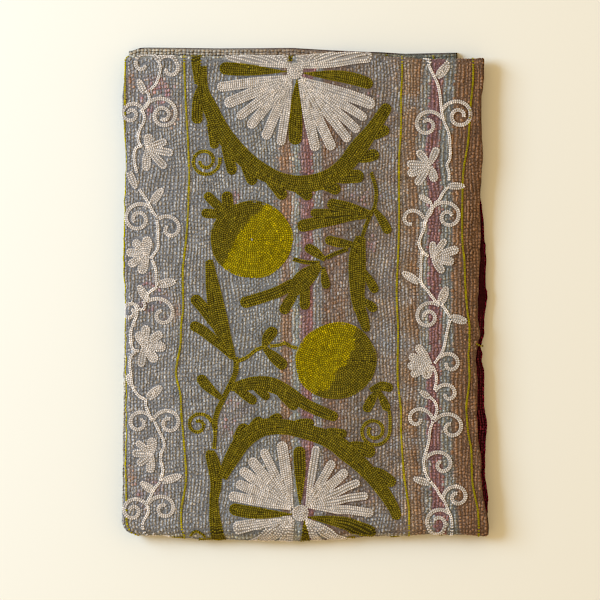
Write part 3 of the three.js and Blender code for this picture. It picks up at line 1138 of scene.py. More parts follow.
# Stems: a half-width, then the places they run through.
WHITE_STEMS = (
    (1.5, 158, 62, 159, 56), (1.5, 159, 62, 160.5, 68, 159, 76, 156, 84, 151, 89),
    (1.5, 146, 91, 149, 95, 149, 101, 147, 106, 143, 109),
    (1.5, 141, 109, 144, 114, 144, 121, 140, 129, 138, 136, 139, 143, 142, 147),
    (1.5, 141, 146, 136, 148, 134, 155, 135, 165, 137, 173),
    (1.5, 139, 189, 144, 196, 149, 204, 153, 212, 158, 218),
    (1.5, 157, 220, 158, 230, 158, 240, 158, 248, 154, 254, 151, 260),
    (1.5, 150, 257, 154, 264, 156, 272, 156, 280, 157, 286),
    (1.5, 157, 287, 151, 291, 147, 295, 146, 302), (1.5, 143, 301, 145, 306, 142, 310, 138, 308),
    (1.5, 131, 302, 136, 307, 137, 314, 134, 322, 131, 331, 131, 341, 133, 349, 139, 351),
    (1.5, 137, 351, 131, 356, 130, 365, 131, 375, 132, 384, 134, 389),
    (1.5, 133, 388, 138, 395, 144, 399), (1.5, 146, 399, 146, 406, 149, 413, 151, 420),
    (1.5, 155, 422, 158, 429, 161, 435, 164, 441, 164, 447, 161, 454, 161, 462, 163, 470, 160, 481),
    (1.5, 160, 482, 155, 488, 150, 497, 147, 503, 147, 509),
    (1.5, 148, 506, 148, 513, 144, 520, 142, 527, 143, 540),
    (1.5, 427, 60, 430, 68, 434, 76, 438, 85, 440, 95, 441, 105, 443, 118, 446, 126, 449, 134,
     450, 145, 450, 158, 447, 165, 449, 172, 449, 180),
    (1.5, 423, 60, 429, 61, 430, 64),
    (1.5, 447, 188, 443, 193, 439, 200, 434, 203), (1.5, 430, 201, 432, 207, 431, 213, 427, 218, 425, 222),
    (1.5, 425, 222, 424, 229, 421, 236, 419, 243, 421, 249, 425, 254, 428, 256),
    (1.5, 422, 251, 421, 260, 421, 270, 421, 282, 427, 290, 433, 298, 437, 303),
    (1.5, 442, 305, 447, 312, 451, 319),
    (1.5, 450, 320, 448, 328, 446, 337, 444, 347, 441, 354, 437, 360, 434, 364),
    (1.5, 433, 367, 436, 374, 436, 383, 434, 391), (1.5, 430, 397, 435, 402, 437, 410, 435, 416, 433, 420),
    (1.5, 433, 421, 430, 430, 429, 440, 427, 449, 424, 458, 424, 466, 426, 474, 430, 481),
    (1.5, 431, 482, 436, 488, 440, 495, 445, 502, 448, 510, 451, 517, 452, 528, 451, 540),
)
OLIVE_STEMS = (
    (2.2, 371, 172, 376, 190, 375, 205, 372, 212, 366, 225, 362, 238),
    (2.5, 293, 259, 305, 262, 320, 263), (2.5, 326, 258, 337, 253, 348, 249),
    (1.9, 236, 362, 247, 357, 256, 350, 266, 346), (1.8, 270, 346, 279, 345, 285, 343, 290, 346, 297, 348),
    (3, 235.5, 357, 236, 364, 235, 374, 230, 385, 224, 397, 218, 410, 215, 420, 215, 430),
    (2, 215, 428, 215, 438, 214, 449), (1.8, 388, 404, 390, 418, 390, 430),
    (1.5, 189, 535, 192, 531, 197, 530, 203, 533, 204, 537), (1, 475, 344, 479, 346, 483, 346),
    (2.6, 290, 62, 291, 56, 292, 44),
)
# Leaves and buds, pointed at both ends: a half-width, the base and the tip.
WHITE_LEAVES = (
    (4, 145, 94, 138, 79), (4, 129, 171, 136, 189), (4.5, 151, 204, 163, 188), (5, 157, 285, 176, 281),
    (4.5, 148, 301, 138, 285), (3.5, 127, 374, 132, 387), (5, 147, 399, 162, 386),
    (4.5, 161, 482, 182, 475), (4.5, 155, 492, 140, 482), (5, 437, 78, 449, 63), (4, 447, 186, 465, 186),
    (3.5, 431, 203, 419, 195), (4.5, 420, 283, 402, 272), (5, 440, 305, 447, 286), (4.8, 450, 317, 467, 322),
    (3.5, 430, 398, 420, 391), (4, 430, 484, 413, 478), (2.3, 147, 537, 153, 530),
    (2.3, 159, 537, 168, 534),
)
# Flowers of loose petals: the base, then a half-width and a tip for each petal.
WHITE_FLOWERS = (
    (147, 148, 4.5, 149, 134, 4, 166, 141, 4, 172, 153, 4, 165, 167, 4.5, 146, 170),
    (147, 255, 5, 147, 237, 4.5, 134, 241, 4.3, 127, 252, 4.3, 129, 265, 5, 141, 273),
    (144, 346, 5, 138, 332, 4.5, 146, 326, 4.5, 161, 333, 5, 165, 347, 5, 156, 361, 4, 141, 366),
    (152, 454, 5, 152, 438, 3.5, 137, 442, 4, 133, 453, 4, 138, 464, 4.5, 150, 472),
    (430, 165, 4, 418, 151, 4, 437, 148, 4, 408, 164, 4.5, 409, 174, 4, 417, 184, 4.5, 435, 181),
    (432, 258, 3.5, 433, 242, 3.5, 445, 240, 4.5, 457, 249, 4.5, 453, 262, 4, 443, 272),
    (431, 365, 4.4, 417.5, 346, 4.3, 410, 356, 4.2, 408.5, 366, 4.2, 412, 375, 5, 425, 378),
    (291, 77, 5, 221, 87, 5.5, 228, 103, 4.5, 240, 116, 5, 251, 125, 5, 266, 136, 4.5, 281, 142),
    (300, 79, 5, 315, 147, 5, 331, 146, 4.5, 347, 138, 4.5, 356, 129, 4.5, 363, 117, 6, 371, 104),
    (290, 66, 5.5, 228, 56, 5, 250, 44, 5, 270, 36),
    (299, 66, 6, 368, 57, 5, 345, 44, 5, 318, 34, 5, 300, 30),
    (291, 508, 5, 232, 496, 5, 239, 484, 5, 243, 471, 5, 252, 461, 4.5, 264, 452, 5.5, 282, 445),
    (307, 506, 4, 316, 449, 4.5, 332, 463, 5, 345, 472, 4, 357, 483, 4, 365, 496, 4.5, 370, 513),
    (292, 518, 5.5, 236, 527, 7, 252, 546, 7, 278, 566),
    (306, 520, 5, 350, 544, 5, 330, 562),
)
# Lobes, narrow at the base and round at the tip: a half-width, then places to the tip.
OLIVE_LOBES = (
    (6, 197, 84, 196, 65, 196.5, 50, 197, 40), (6, 203, 80, 198, 100, 197, 124),
    (5, 207, 105, 212, 128, 215, 149), (5.5, 221, 135, 228, 155, 233, 175),
    (6, 238, 150, 247, 168, 254, 185), (6, 258, 168, 272, 182, 285, 199),
    (5.5, 283, 182, 300, 190, 311, 199), (6, 308, 182, 328, 186, 340, 192),
    (7, 325, 178, 345, 177, 364, 176), (6, 350, 160, 365, 157, 379, 153),
    (5.5, 362, 140, 376, 134, 389, 128), (5, 232, 216, 218, 206, 205, 193),
    (6, 233, 220, 228, 205, 227, 191), (5, 232, 216, 217, 214, 201, 213),
    (6, 372, 214, 345, 207, 327, 203), (4.5, 352, 213, 325, 213, 310, 213),
    (6.5, 368, 216, 330, 220, 297, 227), (5, 374, 209, 383, 222, 389, 234),
    (5, 325, 260, 315, 252, 305, 246), (6, 320, 266, 295, 282, 275, 293, 240, 304),
    (5.5, 302, 283, 290, 300, 282, 314), (5.5, 308, 280, 305, 295, 305, 310),
    (4.5, 323, 267, 325, 280, 327, 289), (5, 358, 246, 340, 243, 325, 239),
    (5, 362, 268, 371, 283, 376, 293), (5, 362, 299, 371, 306, 375, 312),
    (6, 228, 350, 215, 325, 203, 308, 192, 296), (5.5, 232, 358, 217, 343, 203, 331, 190, 324),
    (6, 264, 347, 268, 337, 276, 328), (6, 264, 348, 275, 358, 286, 368),
    (5.5, 222, 399, 206, 385, 199, 375), (5, 233, 388, 245, 395, 256, 403),
    (4.5, 250, 385, 262, 393, 269, 399), (5.5, 270, 385, 285, 397, 297, 409),
    (5, 370, 390, 382, 386, 393, 389), (5, 378, 390, 371, 401, 365, 412), (4.5, 378, 390, 384, 402, 388, 411),
    (7, 235, 454, 240, 437, 247, 424), (5.5, 246, 437, 254, 426, 262, 418),
    (5.5, 262, 430, 272, 421, 282, 416), (5.5, 285, 428, 300, 424, 314, 424),
    (5.5, 315, 434, 332, 433, 347, 435), (7, 340, 447, 360, 448, 375, 454),
    (6, 362, 467, 380, 474, 395, 485),
)
# Bands, whose half-width changes along them: across, down, half-width, and so on.
OLIVE_BANDS = (
    (287, 71.5, 0.6, 268, 71, 3.6, 250, 70, 6, 234, 69, 6.8, 219, 68, 6.5),
    (297, 79, 0.6, 296, 95, 4, 296, 112, 6, 295.5, 128, 7.2, 295, 145, 6.5),
    (302, 73, 0.6, 320, 74.5, 3.8, 338, 76, 6, 356, 79.5, 6.6, 373, 85, 6),
    (300, 506, 0.6, 300, 490, 3.6, 300, 472, 5.8, 299.5, 460, 6.4, 299, 446, 6),
    (292, 514, 0.6, 275, 514, 4, 258, 513, 6.2, 243, 511, 6.6, 229, 508, 6.2),
    (306, 517, 0.6, 322, 519, 3.8, 340, 522, 6, 358, 527, 6.4, 376, 533, 6),
    (304, 520, 0.6, 305, 533, 4, 305, 548, 5.6, 306, 566, 6),
    (203, 66, 4, 203, 90, 6, 211, 110, 8, 222, 132, 9, 238, 152, 9, 256, 168, 9, 280, 180, 8,
     305, 184, 9, 328, 178, 9, 345, 165, 9, 358, 148, 9, 372, 130, 7, 389, 104, 5.5),
    (222, 478, 5, 232, 458, 8, 244, 440, 9, 262, 428, 9, 285, 427, 8, 310, 433, 8, 332, 441, 9,
     350, 455, 9, 366, 470, 8, 380, 487, 7, 392, 505, 6, 398, 520, 5),
    (211, 450, 3, 211, 455, 6, 215, 470, 7, 216, 485, 6, 214, 500, 5, 215, 520, 6, 218, 540, 8,
     220, 560, 8),
    (209, 260, 4, 211, 275, 6, 214, 295, 8, 219, 320, 9, 227, 343, 6, 235, 361, 2),
    (361, 237, 5, 358, 250, 8, 357, 270, 9, 358, 300, 7, 363, 318, 5.5, 367, 332, 4.5),
    (320, 265, 3, 312, 272, 8, 303, 280, 10, 296, 288, 8, 290, 296, 4),
    (229, 388, 3, 240, 386, 6, 255, 383, 7, 272, 385, 8, 290, 394, 7, 305, 404, 6, 322, 412, 6,
     338, 418, 5),
)
# Round fruits: the middle, the half-sizes, and the line that parts the two greens.
POMEGRANATES = (
    ((251.5, 239.5), (41.5, 39), ((268, 200), (262, 209), (252, 217), (244, 227), (235, 240), (229, 253),
                                  (224, 263), (214, 275))),
    ((336, 361), (41, 38.5), ((312, 400), (318, 391), (329, 389), (331, 383), (335, 380), (336, 373),
                              (340, 368), (348, 364), (350, 352), (355, 350), (355, 332), (358, 318))),
)
ROSE_MIDDLES = ((295, 71, 8.5, 8.5), (300.5, 513, 8.5, 8.5))
# Petals are sewn a little longer and wider than their places say.
PETAL_REACH, PETAL_WIDTH = 1.06, 1.05
WHITE_CURL_HALF, OLIVE_CURL_HALF = 2.15, 1.8
# Olive ends of motifs that run on round the near fold: across from and to, in view places.
FOLD_MARKS = ((170, 182), (198, 223), (256, 267), (343, 355), (391, 400), (439, 443))
FOLD_ROWS = (-316.5, -319.5, -322.5)
# Lime marks on the hem that peeks out: across from and to, in view places.
HEM_MARKS = ((433, 435), (386, 392))
# The four lime lines from end to end: across, down, and so on. The right one is darker, as painted shade
# where the light falls off to the right.
LIME_LINES = (
    (125.6, 30, 125.4, 57, 125, 110, 124.4, 180, 124, 260, 124.6, 300, 125, 360, 125.5, 420,
     126, 480, 126.8, 533, 128, 580),
    (184, 20, 184, 56, 185.5, 100, 187, 124, 189, 165, 189, 185, 187.7, 219, 185.4, 246, 182.8, 270,
     183, 308, 181, 326, 180.5, 344, 177.4, 361, 176, 375, 180.5, 395, 181.5, 415, 185, 456, 186, 480,
     181.4, 509, 181.4, 527, 183, 536, 184, 580),
    (402, 20, 402, 75, 401, 95, 401, 130, 399.5, 150, 399, 170, 399, 215, 398.5, 240, 397.5, 265,
     396.5, 290, 397, 310, 398, 330, 397.5, 370, 398.5, 390, 401, 410, 401, 430, 402, 450, 404, 475,
     407, 495, 409, 510, 409, 533, 409, 580),
    (473, 20, 473, 75, 472, 90, 470, 110, 468, 140, 465, 158, 463, 172, 462, 195, 462, 240, 464, 260,
     465, 285, 467, 310, 469, 325, 469, 345, 468, 355, 469, 375, 468, 390, 466, 405, 467, 425,
     469, 440, 471, 450, 472, 480, 475, 497, 478, 512, 479, 535, 479, 580),
)


class Shape(Enum):
    """How a ribbon's width runs along it."""

    STEM = "even"
    LOBE = "narrow at its base and round at its tip"
    LEAF = "pointed at both ends"
    BAND = "given place by place"


@dataclass(frozen=True)
class Ribbon:
    """A form that chain stitch fills: a line through flat places and its half-width, in millimetres."""

    line: np.ndarray
    half: np.ndarray
    hue: Hue
    shape: Shape
    # Shares of the rows' pitch: how far a row may lie outside, and the room that two need.
    outside: float = 0.3
    room_for_two: float = 0.4
    step: float = 0.8

    @property
    def along(self) -> np.ndarray:
        """Distances along the line."""
        return distances(self.line)

    def row(self, inset: float, pitch: float) -> np.ndarray | None:
        """Lay a row of stitches at a distance inside the ribbon's outline.

        Args:
            inset: The distance.
            pitch: How far the rows are apart.

        Returns:
            The row's places, up one side and down the other, or nothing where it has no room.
        """
        along = self.along
        left = self.half - inset
        if left.max() < -self.outside * pitch:
            return None
        end = along[-1] - inset
        start = inset if self.shape is Shape.LEAF else 0.0
        if end - start < 1:
            return None
        at = np.linspace(start, end, max(4, int((end - start) / self.step)))
        middle = places_at(self.line, along, at)
        room = np.interp(at, along, left)
        if left.max() < self.room_for_two * pitch:
            inside = room > -self.outside * pitch
            return middle[inside] if inside.sum() > 3 else None
        width = np.maximum(room, 0)
        if self.shape in (Shape.LOBE, Shape.BAND):
            round_from = max(0.5, float(np.interp(end - 3, along, left)))
            past = np.clip((at - (end - round_from)) / round_from, 0, 1)
            width = width * np.sqrt(np.maximum(1 - past**2, 0))
        side = sideways(unit(np.gradient(middle, axis=0))) * width[:, None]
        return np.concatenate([middle + side, (middle - side)[::-1]])


@dataclass
class ChainStitchWork:
    """The embroidery: forms filled row by row with chain stitch, over a low pad of thread whose colour is
    darkened as painted shade.
    """

    face: QuiltFace
    row_pitch: float = 2.9
    link: float = 2.7
    clear: float = 1.72
    stem_clear: float = 1.35
    line_clear: float = 1.3
    line_link: float = 2.6
    line_size: tuple[float, float, float] = (1.25, 1.1, 1.1)
    pad_height: float = 0.5
    pad_inset: float = 0.7
    above_pad: float = 0.45
    dye_factor: float = 1.4
    cell: float = 3.0
    batches: dict[str, Stitches] = field(default_factory=dict)
    taken: dict[tuple[int, int], list[tuple[float, float]]] = field(default_factory=dict)
    pads: list[tuple[np.ndarray, list, np.ndarray]] = field(default_factory=list)
    hidden: list[np.ndarray] = field(default_factory=list)
    tone: np.ndarray = field(default_factory=lambda: drift(31, 20, 10, 60))
    rng: random.Random = field(default_factory=lambda: random.Random(7))

    def cell_of(self, place: np.ndarray) -> tuple[int, int]:
        """Give the cell, in the map of the stitches so far, that a place lies in."""
        return int(place[0] // self.cell), int(place[1] // self.cell)

    def free(self, place: np.ndarray, clear: float) -> bool:
        """Say whether a place is clear of the stitches so far.

        Args:
            place: The flat place.
            clear: How far it keeps from them.

        Returns:
            Whether none is nearer.
        """
        across, along = self.cell_of(place)
        for i in (across - 1, across, across + 1):
            for j in (along - 1, along, along + 1):
                for x, y in self.taken.get((i, j), ()):
                    if (x - place[0]) ** 2 + (y - place[1]) ** 2 < clear * clear:
                        return False
        return True

    def sew(self, row: np.ndarray, hue_of: Hue | HueOf, batch: str, link: float, clear: float,
            size: tuple[float, float, float] = (1, 1, 1)) -> None:
        """Sew one row of links.

        Args:
            row: The row's flat places.
            hue_of: A hue, or a function from places to hues.
            batch: The batch that the links join.
            link: The links' pitch.
            clear: How far a link keeps from those before it.
            size: Factors on the links' length, width and height.
        """
        gone = distances(row)
        if gone[-1] < link * 0.8:
            return
        at = np.arange(link * 0.5 * self.rng.random() + 0.3, gone[-1], link)
        before, places, after = (places_at(row, gone, at + step) for step in (-0.7, 0.0, 0.7))
        heading = unit(after - before)
        keep = []
        for i, place in enumerate(places):
            if self.free(place, clear):
                keep.append(i)
                self.taken.setdefault(self.cell_of(place), []).append((place[0], place[1]))
        if not keep:
            return
        places, heading = places[keep], heading[keep]
        hues = hue_of(places) if callable(hue_of) else [hue_of] * len(places)
        for hue in dict.fromkeys(hues):
            mine = np.array([h is hue for h in hues])
            self.lay(places[mine], heading[mine], hue, batch, size)

    def lay(self, places: np.ndarray, heading: np.ndarray, hue: Hue, batch: str,
            size: tuple[float, float, float]) -> None:
        """Lay links of one hue.

        Args:
            places: Their flat places.
            heading: Their flat directions.
            hue: Their hue.
            batch: The batch they join.
            size: Factors on their length, width and height.
        """
        count = len(places)
        jitter = np.array([[self.rng.gauss(0, 1) for _ in range(3)] for _ in range(count)])
        dye = np.array(linear(hue.value)[:3])
        uneven = {Hue.WHITE: 0.09, Hue.LIME: 0.12, Hue.BRIGHT_LIME: 0.12}.get(hue, 0.2)
        shade = self.dye_factor * np.exp(uneven * jitter[:, 0] + 0.07 * field_at(self.tone, places))
        height = np.full(count, self.pad_height + self.above_pad) + 0.15 * jitter[:, 1]
        scale = np.array(size) * (1 + 0.06 * jitter[:, 2:3])
        turned = unit(heading + 0.1 * jitter[:, 1:2] * sideways(heading))
        self.batches.setdefault(batch, Stitches()).add(
            self.face, places, turned, height, scale, dye * shade[:, None]
        )

    def ribbon(self, places: Path, halves: tuple[float, ...], hue: Hue, shape: Shape) -> Ribbon:
        """Make a ribbon from view places.

        Args:
            places: The places that its line runs through.
            halves: Its half-width, or one for each place.
            hue: Its hue.
            shape: How its width runs.

        Returns:
            The ribbon, in flat millimetres.
        """
        flat = self.face.from_view(np.array(places, dtype=float))
        share = np.linspace(0, 1, 8 * len(places))
        line = smooth_curve(flat, share)
        if shape is Shape.BAND:
            half = smooth_curve(np.array(halves, dtype=float)[:, None], share)[:, 0]
        else:
            profile = {
                Shape.STEM: np.ones_like(share),
                Shape.LOBE: 0.5 + 0.5 * ease(share / 0.55),
                Shape.LEAF: 0.25 + 0.75 * np.sin(np.pi * share**0.9) ** 0.8,
            }
            half = halves[0] * profile[shape]
        return Ribbon(line, half * PIXEL, hue, shape)

    def under(self, hue: Hue) -> np.ndarray:
        """Give the colour down between the links: the thread's, darkened as painted shade, the least in pale
        thread.
        """
        share = {Hue.WHITE: 0.46, Hue.CHARTREUSE: 0.38}.get(hue, 0.23)
        return np.array(linear(hue.value)[:3]) * share

    def pad(self, ribbon: Ribbon) -> None:
        """Lay the low domed pad of a ribbon, coloured with painted shade.

        Args:
            ribbon: The ribbon that it fills.
        """
        along = ribbon.along
        count = max(4, int(along[-1] / 2.6))
        at = np.linspace(0.6, along[-1] - 0.6, count)
        middle = places_at(ribbon.line, along, at)
        side = sideways(unit(np.gradient(middle, axis=0)))
        width = np.maximum(np.interp(at, along, ribbon.half) - self.pad_inset, 0.4)
        if ribbon.shape in (Shape.LOBE, Shape.BAND):
            past = np.clip((at - (along[-1] - width)) / width, 0, 0.98)
            width = np.maximum(width * np.sqrt(1 - past**2), 0.3)
        shares = np.array([-1, -0.7, -0.25, 0.25, 0.7, 1, 0.5, -0.5])
        heights = np.array([0.02, 0.8, 1, 1, 0.8, 0.02, -0.9, -0.9]) * self.pad_height
        rings = [middle + side * (width * share)[:, None] for share in shares]
        flat = np.stack(rings, axis=1).reshape(-1, 2)
        points = self.face.skin(flat, np.tile(heights, count))
        points[:, 2] = np.maximum(points[:, 2], 0.1)
        size = len(shares)
        faces = [
            [i * size + k, (i + 1) * size + k, (i + 1) * size + (k + 1) % size, i * size + (k + 1) % size]
            for i in range(count - 1) for k in range(size)
        ]
        faces.append(list(range(size)))
        faces.append([(count - 1) * size + k for k in reversed(range(size))])
        dye = np.tile(self.under(ribbon.hue), (len(points), 1))
        self.pads.append((points, faces, dye))
        for share in np.linspace(-1, 1, 9):
            self.hidden.append(middle + side * (width * share)[:, None])

    def fill(self, ribbon: Ribbon) -> None:
        """Fill a ribbon with rows from its outline inwards, or a thin one with a single row.

        Args:
            ribbon: The ribbon.
        """
        end = "far" if ribbon.line[:, 1].mean() > 0 else "near"
        batch = f"chain_stitch_{ribbon.hue.name.lower()}_{end}"
        widest = float(ribbon.half.max())
        if widest < 2.05 * PIXEL:
            if ribbon.hue is Hue.OLIVE:
                self.pad(ribbon)
            size = (1.2, widest / CHAIN.width, 1.1)
            self.sew(ribbon.line, ribbon.hue, batch, self.link, self.stem_clear, size)
            return
        self.pad(ribbon)
        inset = self.row_pitch / 2
        while (row := ribbon.row(inset, self.row_pitch)) is not None:
            self.sew(row, ribbon.hue, batch, self.link, self.clear)
            inset += self.row_pitch

    def curl(
        self, start: tuple[float, float], middle: tuple[float, float], size: float, turns: float
    ) -> Path:
        """Draw a curl that winds in to its middle.

        Args:
            start: Where it leaves its stem.
            middle: Its middle.
            size: Its radius at the first turn.
            turns: How often it turns, below nought to the left.

        Returns:
            Its places.
        """
        out = (start[0] - middle[0], start[1] - middle[1])
        first, angle = math.hypot(*out), math.atan2(out[1], out[0])
        places = []
        for k in range(25):
            t = k / 24
            radius = size * (1 - 0.68 * t) + (first - size) * (1 - t) ** 5
            turned = angle + 2 * math.pi * turns * t
            places.append((middle[0] + radius * math.cos(turned), middle[1] + radius * math.sin(turned)))
        return tuple(places)

    def disc(self, middle: tuple[float, float], halves: tuple[float, float], hue_of: Hue | HueOf,
             batch: str) -> None:
        """Fill a round form with rings of chain stitch.

        Args:
            middle: Its middle, in view places.
            halves: Its half-sizes.
            hue_of: Its hue, or a function from flat places to hues.
            batch: The batch its links join.
        """
        centre = self.face.from_view(np.array([middle], dtype=float))[0]
        sizes = np.array(halves) * PIXEL
        inset = self.row_pitch / 2
        turn = np.linspace(0, 2 * np.pi, 120)
        wobble = 1 + 0.012 * np.sin(5 * turn + 1) + 0.008 * np.sin(9 * turn)
        outline = np.stack([np.cos(turn), np.sin(turn)], axis=1) * wobble[:, None]
        while min(sizes) - inset > 0:
            self.sew(centre + (sizes - inset) * outline, hue_of, batch, self.link, self.clear)
            inset += self.row_pitch
        rings, around, top = 9, 48, self.pad_height * 0.95
        angle = np.linspace(0, 2 * np.pi, around, endpoint=False)
        circle = np.stack([np.cos(angle), np.sin(angle)], axis=1)
        flat, heights = [centre], [top]
        for k in range(1, rings + 1):
            flat.extend(centre + (sizes - self.pad_inset) * (k / rings) * circle)
            heights.extend([0.02 if k == rings else top] * around)
        flat.extend(centre + (sizes - 3) * circle)
        heights.extend([-0.6] * around)
        flat = np.array(flat)
        points = self.face.skin(flat, np.array(heights))
        faces = [[0, 1 + k, 1 + (k + 1) % around] for k in range(around)]
        for r in range(rings):
            low, high = 1 + r * around, 1 + (r + 1) * around
            for k in range(around):
                n = (k + 1) % around
                faces.append([low + k, high + k, high + n, low + n])
        faces.append([1 + rings * around + k for k in reversed(range(around))])
        hues = hue_of(flat) if callable(hue_of) else [hue_of] * len(flat)
        # The pad takes its thread's colour darkened as painted shade.
        dye = np.array([self.under(h) for h in hues])
        self.pads.append((points, faces, dye))
        self.hidden += [centre + (flat[1:] - centre) * share for share in (0.99, 0.96, 0.93)]

    def parted(self, line: Path, light: Hue, dark: Hue, light_to_the_left: bool) -> HueOf:
        """Make the function that parts a fruit's two greens.

        Args:
            line: The parting line, in view places.
            light: The hue on one side.
            dark: The hue on the other.
            light_to_the_left: Whether the light one lies to the left of the line's run.

        Returns:
            A function from flat places to hues.
        """
        run = self.face.from_view(np.array(line, dtype=float))
        start, step = run[:-1], np.diff(run, axis=0)

        def hue_of(places: np.ndarray) -> list[Hue]:
            """Give each place's hue.

            Args:
                places: Flat places.

            Returns:
                Their hues.
            """
            away = places[:, None] - start[None]
            t = np.clip((away * step).sum(axis=2) / (step**2).sum(axis=1), 0, 1)
            gap = away - t[..., None] * step
            nearest = np.argmin(np.linalg.norm(gap, axis=2), axis=1)
            pick = np.arange(len(places))
            cross = step[nearest, 0] * away[pick, nearest, 1] - step[nearest, 1] * away[pick, nearest, 0]
            return [light if (c > 0) == light_to_the_left else dark for c in cross]

        return hue_of

    def rounds(self) -> None:
        """Sew the pomegranates and the middles of the roses."""
        for middle, halves, line in POMEGRANATES:
            greens = self.parted(line, Hue.CHARTREUSE, Hue.OLIVE, True)
            self.disc(middle, halves, greens, "chain_stitch_fruit")
        for x, y, wide, tall in ROSE_MIDDLES:
            end = "far" if y < PHOTO_MIDDLE[1] else "near"
            self.disc((x, y), (wide, tall), Hue.WHITE, f"chain_stitch_white_{end}")

    def sprays(self) -> None:
        """Sew the bands, lobes, stems, leaves, flowers and curls."""
        for row in OLIVE_BANDS:
            places = tuple((row[i], row[i + 1]) for i in range(0, len(row), 3))
            self.fill(self.ribbon(places, tuple(row[2::3]), Hue.OLIVE, Shape.BAND))
        for rows, hue, shape in (
            (OLIVE_LOBES, Hue.OLIVE, Shape.LOBE), (OLIVE_STEMS, Hue.OLIVE, Shape.STEM),
            (WHITE_STEMS, Hue.WHITE, Shape.STEM), (WHITE_LEAVES, Hue.WHITE, Shape.LEAF),
        ):
            for half, *rest in rows:
                places = tuple(zip(rest[::2], rest[1::2]))
                self.fill(self.ribbon(places, (half,), hue, shape))
        for x, y, *petals in WHITE_FLOWERS:
            for i in range(0, len(petals), 3):
                half, tip_x, tip_y = petals[i : i + 3]
                tip = (x + PETAL_REACH * (tip_x - x), y + PETAL_REACH * (tip_y - y))
                places = ((x, y), ((x + tip[0]) / 2, (y + tip[1]) / 2), tip)
                self.fill(self.ribbon(places, (PETAL_WIDTH * half,), Hue.WHITE, Shape.LOBE))
        for rows, hue, half in (
            (WHITE_CURLS, Hue.WHITE, WHITE_CURL_HALF), (OLIVE_CURLS, Hue.OLIVE, OLIVE_CURL_HALF),
        ):
            for x, y, mid_x, mid_y, size, turns in rows:
                places = self.curl((x, y), (mid_x, mid_y), size, turns)
                self.fill(self.ribbon(places, (half,), hue, Shape.STEM))

    def marks(self) -> None:
        """Sew the ends of motifs that show on the near fold and on the hem."""
        stack, count = self.face.stack, 12
        for left, right in FOLD_MARKS:
            for along in FOLD_ROWS:
                row = np.stack([across_view(left, right, count), np.full(count, along)], axis=1)
                self.sew(row, Hue.OLIVE, "chain_stitch_olive_near", self.link, self.line_clear)
        for left, right in HEM_MARKS:
            along = stack.stops[0] + np.linspace(2, 10, count)
            centre = stack.centre(stack.station(along))
            under = stack.other_leaf(across_view(left, right, count), centre)
            row = np.stack([under, along], axis=1)
            self.sew(row, Hue.LIME, "chain_stitch_lime", self.line_link, self.line_clear)

    def lime_lines(self) -> None:
        """Sew the four lines that run from end to end."""
        # The right line takes the darker lime as painted shade.
        hues = (Hue.BRIGHT_LIME, Hue.BRIGHT_LIME, Hue.BRIGHT_LIME, Hue.LIME)
        for row, hue in zip(LIME_LINES, hues):
            line = self.face.from_view(np.array(row, dtype=float).reshape(-1, 2))
            run = smooth_curve(line, np.linspace(0, 1, 10 * len(line)))
            self.sew(
                run, hue, "chain_stitch_lime", self.line_link, self.line_clear, self.line_size
            )

    def build(self) -> list[bpy.types.Object]:
        """Build the embroidery's pieces.

        Returns:
            One object for each thread, and one for the pads.
        """
        self.rounds()
        self.sprays()
        self.marks()
        self.lime_lines()
        wool = CREWEL_WOOL.material()
        made = [CHAIN.lay(name, batch, wool) for name, batch in sorted(self.batches.items())]
        points, faces, dyes, start = [], [], [], 0
        for place, face, dye in self.pads:
            points.append(place)
            faces += [[start + i for i in one] for one in face]
            dyes.append(dye)
            start += len(place)
        pads = mesh_object("embroidery_pads", np.concatenate(points), faces, np.concatenate(dyes))
        face_outwards(pads.data)
        pads.data.materials.append(wool)
        return [*made, pads]


